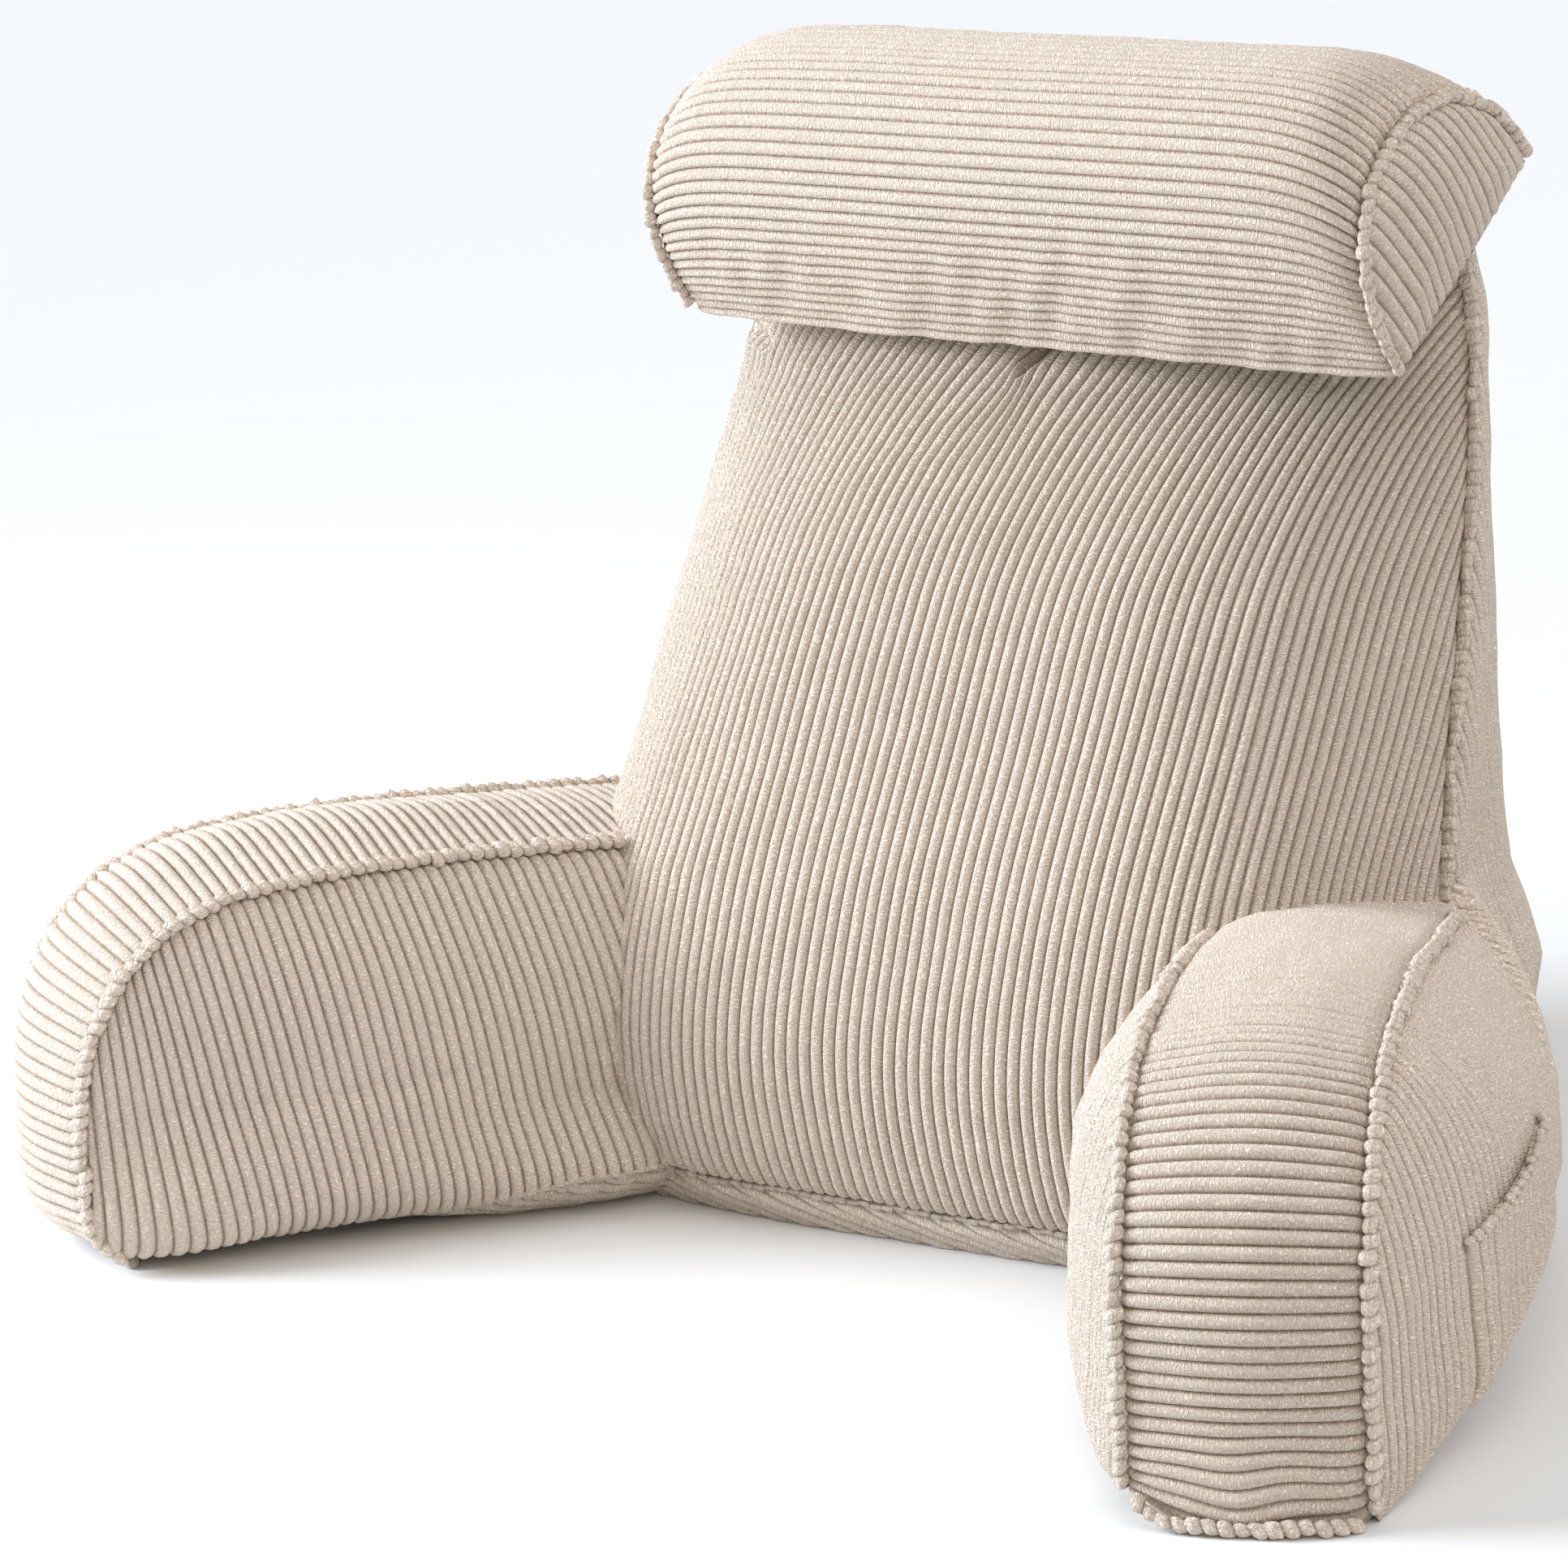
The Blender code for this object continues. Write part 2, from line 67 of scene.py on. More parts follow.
ARM_WIDTH = 0.110  # between the two seams of an arm
ARM_LENGTH = 0.292
ARM_REAR = -0.125
ARM_OUTER_START = -0.077
ARM_OUTER_HEIGHT = 0.167
ARM_REAR_HEIGHT = 0.177
ARM_TOP_HEIGHT = 0.188
ARM_TOP_ALONG = 0.175
ARM_FRONT_HEIGHT = 0.058
ARM_CORNER_POWER = 0.86
ARM_SADDLE = (0.085, 0.003)  # along, and how far above the mean of the rear and the top
ARM_FOOT_RADII = {"right": 0.008, "left": 0.036}
ARM_REAR_DROP = {"right": 0.009, "left": 0.0}  # the cloth sags this much at the arm's rear
REAR_DROP_ALONG = (-0.05, 0.12)  # from its full depth to none
ARM_CROWN = {"right": 0.009, "left": 0.010}  # how far the strip swells between its seams
CROWN_AHEAD = {"right": 0.0, "left": 0.006}  # this much more at the very front
CROWN_AT_FLOOR = {"right": 1.5, "left": 0.0}  # the share of the crown where the strip ends
CROWN_AHEAD_ALONG = (0.20, 0.285)  # from none of that to all
CROWN_AHEAD_HEIGHT = 0.03
CROWN_FADE_HEIGHT = 0.04
CROWN_FADE_LENGTH = 0.03
REAR_CROWN = {"right": 1.0, "left": 0.4}  # the share of the crown at the arm's rear
REAR_CROWN_ALONG = (-0.03, 0.14)  # from that share to all of it
CROWN_TILT = {"right": 1.0, "left": 1.25}  # above 1 the crown lies nearer to the outer seam
REAR_TILT = {"right": 0.25, "left": 0.0}  # this much less at the arm's rear
REAR_TILT_ALONG = (0.0, 0.14)
ARM_MIDDLE = (0.065, 0.088)  # along, height: the fullest place of both faces
ARM_BULGES = {"inner": 0.046, "outer": 0.058}
ARM_LOW_FULLNESS = {
    ("right", "inner"): 0.6,
    ("right", "outer"): 0.2,
    ("left", "inner"): 2.6,
    ("left", "outer"): 1.0,
}
ARMS = {  # side: seam's start across and along the seat, and the angle it opens to
    "right": (0.1745, -0.0895, 19.3),
    "left": (-0.1780, -0.0825, 35.0),
}

BACK_LEVELS = (
    # side seam x, y, z       front y, z      back y, z     squareness, belly
    (0.220, 0.000, 0.000, -0.117, 0.000, 0.195, 0.000, 5.0, 0.04),
    (0.236, -0.004, 0.022, -0.130, 0.022, 0.215, 0.022, 5.5, 0.06),
    (0.244, 0.002, 0.080, -0.136, 0.080, 0.236, 0.080, 6.0, 0.12),
    (0.241, 0.028, 0.165, -0.103, 0.160, 0.240, 0.180, 5.5, 0.12),
    (0.231, 0.066, 0.236, -0.050, 0.240, 0.240, 0.250, 4.2, 0.08),
    (0.220, 0.110, 0.312, 0.006, 0.316, 0.238, 0.330, 3.4, 0.04),
    (0.212, 0.138, 0.375, 0.060, 0.369, 0.237, 0.400, 3.0, 0.02),
    (0.206, 0.153, 0.418, 0.115, 0.408, 0.235, 0.455, 2.8, 0.01),
    (0.190, 0.170, 0.4644, 0.157, 0.4575, 0.222, 0.4922, 2.5, 0.00),
)
BACK_PLAN_POWER = 0.86
BACK_MIDDLE = np.array((0.0, 0.09, 0.20))  # a place well inside the backrest
ARM_INSIDE = (0.09, 0.055, 0.09)  # along, across and height of a place well inside an arm
ARM_MORE_BULGE = {("right", "inner"): 0.004}  # the cloth stands fuller than the solid here
OUTER_SETBACK = {"right": 0.0, "left": 0.006}  # how much shorter the strip's outer edge is
OUTER_SETBACK_HEIGHTS = (0.05, 0.15)  # from the whole setback to none
OUTER_WAVE = 0.0008  # the outer panel's ribs waver this much beside the strip
OUTER_WAVE_REACH = 0.02
OUTER_WAVE_ALONG = (0.10, 0.20)  # from none of it to all
LOW_EDGE_LIFT = {"right": 0.0, "left": 0.0075}  # the inner lower edge stands off the floor
LOW_EDGE_HEIGHT = 0.04  # up to here
LOW_EDGE_ACROSS = (0.0, 0.06)  # from all of it to none
LOW_EDGE_ALONG = (0.07, 0.15)  # from none of it to all
CORNER_LIFT = 0.012  # the right arm's inner lower front corner stands off the floor
CORNER_REACH = (0.020, 0.05)  # across and along
STRIP_TUCK = (-0.035, 0.003)  # the strip runs on this far into the backrest
STRIP_NARROWING = 0.12  # and narrows by this share there
LOW_RIB_WAVE = 0.0022  # how uneven its lowest ribs lie
LOW_RIB_SAG = 0.0018
INNER_LEAN = 0.13  # the inner panels' ribs lean forward: along for each step up
INNER_LEAN_FADE = 0.07
LOW_INNER_FULLNESS = ((0.030, 0.053, 0.105, 0.20), (0.034, 0.028, 0.016, 0.0))  # left, by along
LOW_INNER_HEIGHTS = (0.015, 0.07)  # from that fullness to none
ARM_FOOT_SEAM = ((0.055, 0.18), (0.024, 0.0005))  # the left arm's inner low seam, by along
ARM_FOOT_RIB_SLOPE = 0.20
FOOT_BOW = {"right": 0.0150, "left": 0.002}  # the foot seam bows forward this much
BACK_SEAM_RISE = {"right": 0.002, "left": -0.0045}
FOOT_SEAM_TUCK = {"right": 0.0015, "left": 0.012}  # how far under the arm its foot seam lies

ROLL_HALF_LENGTH = 0.204
ROLL_SHIFT = 0.0035
ROLL_BACK_EDGE = (0.2224, 0.4930)
ROLL_FRONT_EDGE = (0.0790, 0.4164)
ROLL_RISE = 0.100
ROLL_LEAN = 0.36
ROLL_FULLNESS = 0.82
ROLL_TURN = -3.8
ROLL_TILT = -1.6  # the right end lies higher
ROLL_SWELL_UP = 0.29
ROLL_SWELL_SIDE = 0.12
ROLL_SWELL_POWER = 10
ROLL_SWELL_WIDE = 0.03
ROLL_END_BULGE = 0.009
ROLL_RIPPLE = 0.0007  # under its front, where it rests on the front panel
ROLL_GATHER = 0.0008  # and beside its ends
ROLL_STRETCH = {"right": (1.0, 1.035), "left": (0.970, 1.053)}  # along its rear and front edge
END_RIB_STRETCH = 1.18  # the ends' ribs lie wider apart
END_RIB_LEAN = -15.0  # degrees off square to the flat side

POCKET_ALONG = (0.096, 0.216)
POCKET_BOTTOM = 0.022
POCKET_MOUTH_HEIGHTS = (0.117, 0.101)  # at the pocket's rear and front edge
POCKET_LIFT = 0.0034  # its front over the arm's form at its sewn edges
POCKET_FULLNESS = 0.0010
POCKET_OPENING = 0.0025  # how far its mouth stands off
POCKET_THICKNESS = 0.0032

# ---------------------------------------------------------------- sizes of the cloth

RIB_STEPS = (0.0, 0.07, 0.20, 0.38, 0.62, 0.80, 0.93)  # vertices across one rib, as shares
ROW_LENGTH = 0.0058  # between vertices along the ribs
EDGE_ROWS = (0.0, 0.0012, 0.0028, 0.0052)  # closer rows at a sewn edge
SEAM_PINCH = 0.0030  # how deep a panel dips at its seam
SEAM_PINCH_REACH = 0.0042
RIB_POWER = 0.66  # below 1 a rib's crest is broad and its grooves are narrow
RIB_FLATTENING = (1.1, 0.0035)  # how much that power grows at a seam, and over what reach
RIB_FULLNESS = (0.86, 1.08)  # the lowest and the highest rib, as shares of the depth
RIB_SWELL = 0.10  # how much a rib's own height varies along it
RIB_START = (0.35, 0.0035)  # its share at a seam, and the way to its full height
CLOTH_SWELL = (0.0006, 0.11)  # how uneven a panel lies, and over what length
FRONT_FOOT_HEIGHT = 0.022  # the front panel ends here, above the strip that turns under
BACK_PANEL_ANGLE = 50.0  # degrees: where the side panel meets the back panel
SIDE_HOLLOW = (  # how much flatter than the solid the side panel lies, by height
    (0.10, 0.145, 0.18, 0.21, 0.25, 0.29),
    (0.0, 0.016, 0.017, 0.014, 0.010, 0.0065),
)
UNDER_PANELS = 0.0035  # how deep plain cloth lies under the panels' edges
FILLET = 0.030  # how softly the side panel turns from the backrest to the arm
BORDER_SOFTNESS = 0.002  # and at its own border
BORDER_REACH = 0.05
SIDE_PANEL_LENGTH = 0.46
INNER_PANEL_LENGTH = 0.20

FRONT_LEFT_FULLNESS = (  # how much fuller the left edge is, by height
    (0.13, 0.19, 0.25, 0.31, 0.40, 0.45),
    (0.0, -0.004, 0.004, 0.008, 0.006, 0.0),
)
FRONT_LEFT_SHARES = (0.55, 1.0)  # from none of that to all, towards the left edge
FRONT_TOP_FULLNESS = 0.016  # the panel swells forward under the roll
FRONT_TOP_BAND = (0.408, 0.026)  # the swell's height and reach
FRONT_CORNER_HOLLOW = 0.011  # low beside the left arm it lies back, and ahead at the floor
FRONT_CORNER_ACROSS = (0.10, 0.20)  # from none of that to all of it, towards the left
FRONT_CORNER_HEIGHTS = (0.05, 0.16)  # from all of it to none
FLOOR_EDGE = (0.0, 0.02)  # heights over which the cloth turns in to the floor
FRONT_LEAN_START = 0.30  # above this height the ribs lean to the right
FRONT_LEAN = 2.7
FRONT_FOOT_LEAN_START = 0.20  # and below this one they end further to the right
FRONT_FOOT_LEAN = 0.45
FRONT_PUCKER = ((-0.006, 0.412), (-0.015, 0.398))  # the gathered fold under the roll, (x, z)
PUCKER_WIDTH, PUCKER_DEPTH = 0.0050, 0.0070
PUCKER_PULL = (0.4, 0.6)  # how much it draws in the ribs on its left and its right
PUCKER_PULL_WIDTH, PUCKER_PULL_BELOW = 0.026, 0.05
FRONT_FOLDS = (  # start, end, width and depth of small folds at the panel's upper corners
    ((-0.207, 0.398), (-0.186, 0.391), 0.004, 0.0045),
    ((0.175, 0.405), (0.150, 0.396), 0.007, 0.0022),
)
FOOT_RIB_SLOPE = 0.39  # the foot strip's ribs run down this much for each step to the right

NEAR_TOWARDS = (-0.72, -0.45, 0.38)
NEAR_PLACE = (-1.13, -0.70, 0.80)  # from the middle of the seat
NEAR_SIZE = 0.7
FAR_LIGHTS = {  # name: direction it shines from, width in degrees, colour
    "key": ((-0.84, -0.34, 0.37), 24.0, (0.92, 1.02, 1.15)),
    "fill": ((0.75, 0.35, 0.60), 60.0, (0.95, 1.00, 1.10)),
    "front": ((0.55, -0.55, 0.62), 60.0, (1.06, 0.98, 0.84)),
    "top": ((0.0, 0.0, 1.0), 60.0, (1.0, 1.0, 1.0)),
}

FLOOR_HALF = 80.0  # it has to reach past the edge of the picture
FLOOR_CLEARANCE = 0.0002  # no vertex of the cloth lies lower

CAMERA_PLACE = (1.47903, -2.45390, 1.09176)  # from the middle of the seat
CAMERA_TURN = (33.116, 17.095, -4.011)  # azimuth, elevation and roll in degrees
CAMERA_LENS = 135.66  # mm on a 36 mm sensor


# ---------------------------------------------------------------- curves


def smooth_path(points, count, lengths=9):
    """`count` points on a smooth curve through `points`, whose first columns are `lengths`."""
    points = np.asarray(points, float)
    steps = np.linalg.norm(np.diff(points[:, :lengths], axis=0), axis=1)
    reach = np.concatenate([[0.0], np.cumsum(steps)])
    slopes = np.gradient(points, reach, axis=0)
    places = np.linspace(0.0, reach[-1], count)
    first = np.clip(np.searchsorted(reach, places, "right") - 1, 0, len(points) - 2)
    span = (reach[first + 1] - reach[first])[:, None]
    t = (places - reach[first])[:, None] / span
    start, end = points[first], points[first + 1]
    leave, arrive = slopes[first] * span, slopes[first + 1] * span
    return (
        (2 * t**3 - 3 * t**2 + 1) * start
        + (t**3 - 2 * t**2 + t) * leave
        + (3 * t**2 - 2 * t**3) * end
        + (t**3 - t**2) * arrive
    )


def reach_along(path):
    """The length of a path from its start to each of its points."""
    return np.concatenate([[0.0], np.cumsum(np.linalg.norm(np.diff(path, axis=0), axis=1))])


def read_along(path, places, reach=None):
    """Values of a path at these lengths from its start."""
    reach = reach_along(path) if reach is None else reach
    return np.stack([np.interp(places, reach, path[:, k]) for k in range(path.shape[1])], -1)


def distance_to_path(points, path):
    """The distance in a plane from each of `points` (..., 2) to a path of straight steps."""
    best = np.full(points.shape[:-1], 9.0)
    for start, end in zip(path, path[1:]):
        step = end - start
        share = np.clip(((points - start) @ step) / max(step @ step, 1e-12), 0.0, 1.0)
        best = np.minimum(best, np.linalg.norm(points - start - share[..., None] * step, axis=-1))
    return best


def smooth_step(value, low, high):
    share = np.clip((value - low) / (high - low), 0.0, 1.0)
    return share * share * (3.0 - 2.0 * share)


def smooth_max(one, other, softness):
    share = np.clip(0.5 + 0.5 * (one - other) / softness, 0.0, 1.0)
    return other * (1 - share) + one * share + softness * share * (1 - share)


def crease(points, start, end, width, depth):
    """A soft valley from `start` to `end`, (x, z), with a low ridge on each side of it."""
    start, end = np.array(start), np.array(end)
    points = points[..., (0, 2)]
    step = end - start
    share = ((points - start) @ step) / (step @ step)
    share = np.clip(share, 0, 1)
    off = np.linalg.norm(points - start - share[..., None] * step, axis=-1)
    off = off / (width * (1.3 - 0.8 * share))  # it narrows towards its end
    ridge = 0.2 * np.exp(-((off - 1.9) ** 2))
    return depth * (ridge - np.exp(-(off**2)))


def waves(points, length, seed):
    """A smooth uneven number near -1 to 1 at each point, with swells about `length` long."""
    chance = np.random.default_rng(seed)
    total = np.zeros(points.shape[:-1])
    for _ in range(7):
        direction = chance.normal(size=points.shape[-1])
        direction *= 2 * math.pi / length * chance.uniform(0.6, 1.5) / np.linalg.norm(direction)
        total += np.sin(points @ direction + chance.uniform(0, 2 * math.pi))
    return total / 3.0


# ---------------------------------------------------------------- forms of the filled parts


def arm_top_and_front(side, count, outer=0.0):
    """An arm's seam seen from the side, (along, height), from the backrest to the floor.

    `outer` is 0 at the inner seam and 1 at the outer one.
    """
    length = ARM_LENGTH
    round_along = length - ARM_TOP_ALONG
    round_height = ARM_TOP_HEIGHT - ARM_FRONT_HEIGHT
    saddle = (ARM_SADDLE[0], 0.5 * (ARM_REAR_HEIGHT + ARM_TOP_HEIGHT) + ARM_SADDLE[1])
    top = [(ARM_OUTER_START, ARM_OUTER_HEIGHT), (0.0, ARM_REAR_HEIGHT), saddle]
    corner = [
        (
            ARM_TOP_ALONG + round_along * math.cos(angle) ** ARM_CORNER_POWER,
            ARM_FRONT_HEIGHT + round_height * math.sin(angle) ** ARM_CORNER_POWER,
        )
        for angle in np.radians(np.linspace(90, 0, 9))
    ]
    radius = ARM_FOOT_RADII[side]
    foot = [
        (
            length - radius * (1.0 - math.cos(angle)),
            radius * (1.0 - math.sin(angle)),
        )
        for angle in np.radians(np.linspace(10, 90, 4))
    ]
    path = smooth_path(top + corner + foot, count)
    path[:, 1] -= ARM_REAR_DROP[side] * (1.0 - smooth_step(path[:, 0], *REAR_DROP_ALONG))
    low = 1.0 - smooth_step(path[:, 1], *OUTER_SETBACK_HEIGHTS)
    path[:, 0] -= OUTER_SETBACK[side] * outer * low
    return path


def arm_outline(side, face, count=240):
    """The whole outline of one of an arm's faces as a closed ring, rear and floor included."""
    top = arm_top_and_front(side, count, float(face == "outer"))
    rear = [(ARM_REAR, 0.0), (ARM_REAR, 0.6 * ARM_OUTER_HEIGHT)]
    rear += [(ARM_REAR, ARM_OUTER_HEIGHT - 0.02), (ARM_REAR + 0.02, ARM_OUTER_HEIGHT - 0.002)]
    floor_places = np.linspace(top[-1, 0], ARM_REAR, 40)[1:-1]
    floor = [(along, 0.0) for along in floor_places]
    return np.array(rear + [tuple(point) for point in top] + floor)


def arm_face(side, face, along, height):
    """How far across an arm one of its faces lies, at places on the arm's side."""
    outline = arm_outline(side, face)
    middle = np.array(ARM_MIDDLE)
    rays = outline - middle
    bearings = np.arctan2(rays[:, 1], rays[:, 0])
    order = np.argsort(bearings)
    lengths = np.linalg.norm(rays, axis=1)
    off_along, off_height = along - middle[0], height - middle[1]
    bearing = np.arctan2(off_height, off_along)
    limit = np.interp(bearing, bearings[order], lengths[order], period=2 * math.pi)
    share = np.clip(np.hypot(off_along, off_height) / limit, 1e-4, 2.2)
    low = np.clip(1.0 - (middle[1] + limit * np.sin(bearing)) / middle[1], 0.0, 1.0)
    power = 2.0 + ARM_LOW_FULLNESS[side, face] * low
    bulge = (ARM_BULGES[face] + ARM_MORE_BULGE.get((side, face), 0.0)) * (1.0 - share**power)
    if (side, face) == ("left", "inner"):
        low = 1.0 - smooth_step(height, *LOW_INNER_HEIGHTS)
        bulge = bulge + np.interp(along, *LOW_INNER_FULLNESS) * low
    return -bulge if face == "inner" else ARM_WIDTH + bulge


def arm_axes(side):
    """The arm's start and its forward and outward directions in the seat's frame."""
    x, y, opening = ARMS[side]
    sign = 1.0 if side == "right" else -1.0
    angle = math.radians(opening)
    forward = np.array((sign * math.sin(angle), -math.cos(angle), 0.0))
    outward = np.array((sign * math.cos(angle), math.sin(angle), 0.0))
    return np.array((x, y, 0.0)), forward, outward


def from_arm(side, along, across, height):
    """Points of the seat's frame from places in an arm's own frame."""
    start, forward, outward = arm_axes(side)
    along, across, height = np.broadcast_arrays(along, across, height)
    up = np.array((0.0, 0.0, 1.0))
    parts = (along[..., None] * forward, across[..., None] * outward, height[..., None] * up)
    return start + parts[0] + parts[1] + parts[2]


def to_arm(side, points):
    """(along, across, height) in an arm's own frame."""
    start, forward, outward = arm_axes(side)
    off = points - start
    return np.stack([off @ forward, off @ outward, off[..., 2]], -1)


BACK_TABLE = smooth_path(np.array(BACK_LEVELS), 240, 7)
BACK_TABLE[:, (2, 4, 6)] = np.maximum(BACK_TABLE[:, (2, 4, 6)], 0.0)
BACK_TIMES = np.linspace(0.0, 1.0, len(BACK_TABLE))


def back_level(t):
    """The backrest's nine sizes at level `t`, from 0 at the floor to 1 at the top."""
    return [np.interp(t, BACK_TIMES, BACK_TABLE[:, k]) for k in range(BACK_TABLE.shape[1])]


def back_front(share, t):
    """The backrest's front at `share` of the way from its middle to a side seam."""
    side_x, side_y, side_z, front_y, front_z, _, _, squareness, _ = back_level(t)
    bow = 1.0 - np.abs(share) ** squareness
    y = side_y + (front_y - side_y) * bow
    z = side_z + (front_z - side_z) * bow
    return np.stack([share * side_x, y, z], -1)


def back_wrap(angle, t):
    """The backrest's sides and back, from its right seam (0) round to its left seam (pi)."""
    side_x, side_y, side_z, _, _, back_y, back_z, _, belly = back_level(t)
    cosine = np.cos(angle)
    swing = np.sign(cosine) * np.abs(cosine) ** BACK_PLAN_POWER
    depth = np.clip(np.sin(angle), 0.0, 1.0) ** BACK_PLAN_POWER
    y = side_y + (back_y - side_y) * depth
    z = side_z + (back_z - side_z) * depth
    swell = 1.0 + belly * np.sin(2.0 * np.minimum(angle, math.pi - angle))
    return np.stack([swing * swell * side_x, y, z], -1)


def back_hollowed(angle, t):
    """The backrest's sides and back as the cloth lies on them, flatter low at both sides."""
    points = back_wrap(angle, t)
    height = points[..., 2]
    hollow = np.interp(height, *SIDE_HOLLOW) * (1.0 - smooth_step(height, 0.43, 0.48))
    for side, turn in (("right", angle), ("left", math.pi - angle)):
        share = 1.0 - smooth_step(turn, math.radians(BACK_PANEL_ANGLE), math.radians(82))
        points = points - (hollow * share)[..., None] * arm_axes(side)[2]
    return points


def roll_axes():
    """The flat side's middle, and its unit vectors to the front edge and up off the plane."""
    rear, front = np.array(ROLL_BACK_EDGE), np.array(ROLL_FRONT_EDGE)
    ahead = (front - rear) / np.linalg.norm(front - rear)
    return (rear + front) / 2, ahead, np.array([ahead[1], -ahead[0]])


def roll_outline(angle):
    """The roll's end, (y, z): its round side from the rear edge (0) to the front edge (pi)."""
    rear, front = np.array(ROLL_BACK_EDGE), np.array(ROLL_FRONT_EDGE)
    middle, half = (rear + front) / 2, (front - rear) / 2
    rise = np.array([half[1], -half[0]]) / np.linalg.norm(half)
    height = np.clip(np.sin(angle), 0.0, 1.0) ** ROLL_FULLNESS
    forward = ROLL_LEAN * np.sin(angle) - np.cos(angle)
    return middle + forward[..., None] * half + ROLL_RISE * height[..., None] * rise


def roll_placed(x, section):
    """Points on the roll from places along it and (y, z) on the end's section."""
    middle, ahead, up = roll_axes()
    place = np.clip(x / ROLL_HALF_LENGTH, -1.0, 1.0)
    full = (1.0 - place**ROLL_SWELL_POWER) * (1.0 + ROLL_SWELL_SIDE * place)
    off = section - middle
    higher = (ROLL_SWELL_UP * full * (off @ up))[..., None] * up
    wider = (ROLL_SWELL_WIDE * full * (off @ ahead))[..., None] * ahead
    section = section + higher + wider
    flat = np.concatenate([np.broadcast_to(x, section.shape[:-1])[..., None], section], -1)
    return turned_with_roll(flat)


def turned_with_roll(points):
    """Points after the roll's flare and its small turn on the plane that it lies on."""
    middle, ahead, up = roll_axes()
    pivot = np.array((0.0, *middle))
    x, across = points[..., 0], (points[..., 1:] - middle) @ ahead
    stretch = [np.interp(across, (-0.08, 0.08), ROLL_STRETCH[side]) for side in ("left", "right")]
    x = x * np.where(x < 0, *stretch)
    points = np.concatenate([x[..., None], points[..., 1:]], -1)
    turn = np.array(
        Matrix.Rotation(math.radians(ROLL_TILT), 3, "Y")
        @ Matrix.Rotation(math.radians(ROLL_TURN), 3, Vector((0.0, *up)))
    )
    return pivot + np.array((ROLL_SHIFT, 0.0, 0.0)) + (points - pivot) @ turn.T


# ---------------------------------------------------------------- cloth on a form


def rib_places(start, end, pitch):
    """Places across the cloth, close enough together to round each rib, ends included."""
    first, last = math.floor(start / pitch), math.ceil(end / pitch)
    places = np.array([(rib + step) * pitch for rib in range(first, last) for step in RIB_STEPS])
    inside = places[(places > start + 1e-5) & (places < end - 1e-5)]
    return np.concatenate([[start], inside, [end]])


def run_places(length, sewn=(True, True), step=ROW_LENGTH):
    """Places along the ribs, 0 to `length`, closer together at the sewn ends."""
    count = max(int(round(length / step)), 2)
    places = list(np.linspace(0.0, length, count + 1))
    margin = np.array(EDGE_ROWS[1:])
    if sewn[0]:
        places = [p for p in places if p == 0.0 or p > EDGE_ROWS[-1] * 1.4] + list(margin)
    if sewn[1]:
        places = [p for p in places if p == length or p < length - EDGE_ROWS[-1] * 1.4]
        places += list(length - margin)
    return np.array(sorted(places))


def rib_height(number, edge):
    """A rib's rounded profile, 0 in the groove and 1 on the crest, narrower at a sewn edge."""
    growth, reach = RIB_FLATTENING
    power = RIB_POWER + growth * np.exp(-((edge / reach) ** 2))
    return np.abs(np.sin(math.pi * number)) ** power


def outward_normals(form, a, b, step_a, step_b, middle):
    """Unit normals of a form, away from `middle`, by small steps along its two directions."""
    one = form(a + step_a, b) - form(a - step_a, b)
    other = form(a, b + step_b) - form(a, b - step_b)
    normals = np.cross(one, other)
    normals /= np.maximum(np.linalg.norm(normals, axis=-1, keepdims=True), 1e-12)
    outside = np.mean(np.sum((form(a, b) - middle) * normals, axis=-1)) > 0
    return normals if outside else -normals


def back_normals(form, a, t, step=0.002):
    """Unit normals of a form of the backrest at level `t`."""
    return outward_normals(form, a, np.clip(t, 0.003, 0.997), step, 0.003, BACK_MIDDLE)


def arm_normals(side, form, along, height):
    """Unit normals of a form of an arm, away from its inside."""
    height = np.maximum(height, 0.003)
    return outward_normals(form, along, height, 0.002, 0.002, from_arm(side, *ARM_INSIDE))


def grid_faces(points, normals=None, dead=None):
    """Quads of a grid of points, facing along `normals`, without those wholly `dead`."""
    rows, columns = points.shape[:2]
    index = np.arange(rows * columns).reshape(rows, columns)
    quads = np.stack([index[:-1, :-1], index[:-1, 1:], index[1:, 1:], index[1:, :-1]], -1)
    quads = quads.reshape(-1, 4)
    if normals is not None:
        across = points[:-1, 1:] - points[:-1, :-1]
        along = points[1:, :-1] - points[:-1, :-1]
        if np.sum(np.cross(across, along) * normals[:-1, :-1]) < 0:
            quads = quads[:, ::-1]
    if dead is None:
        return quads
    return quads[~dead.reshape(-1)[quads].all(axis=1)]


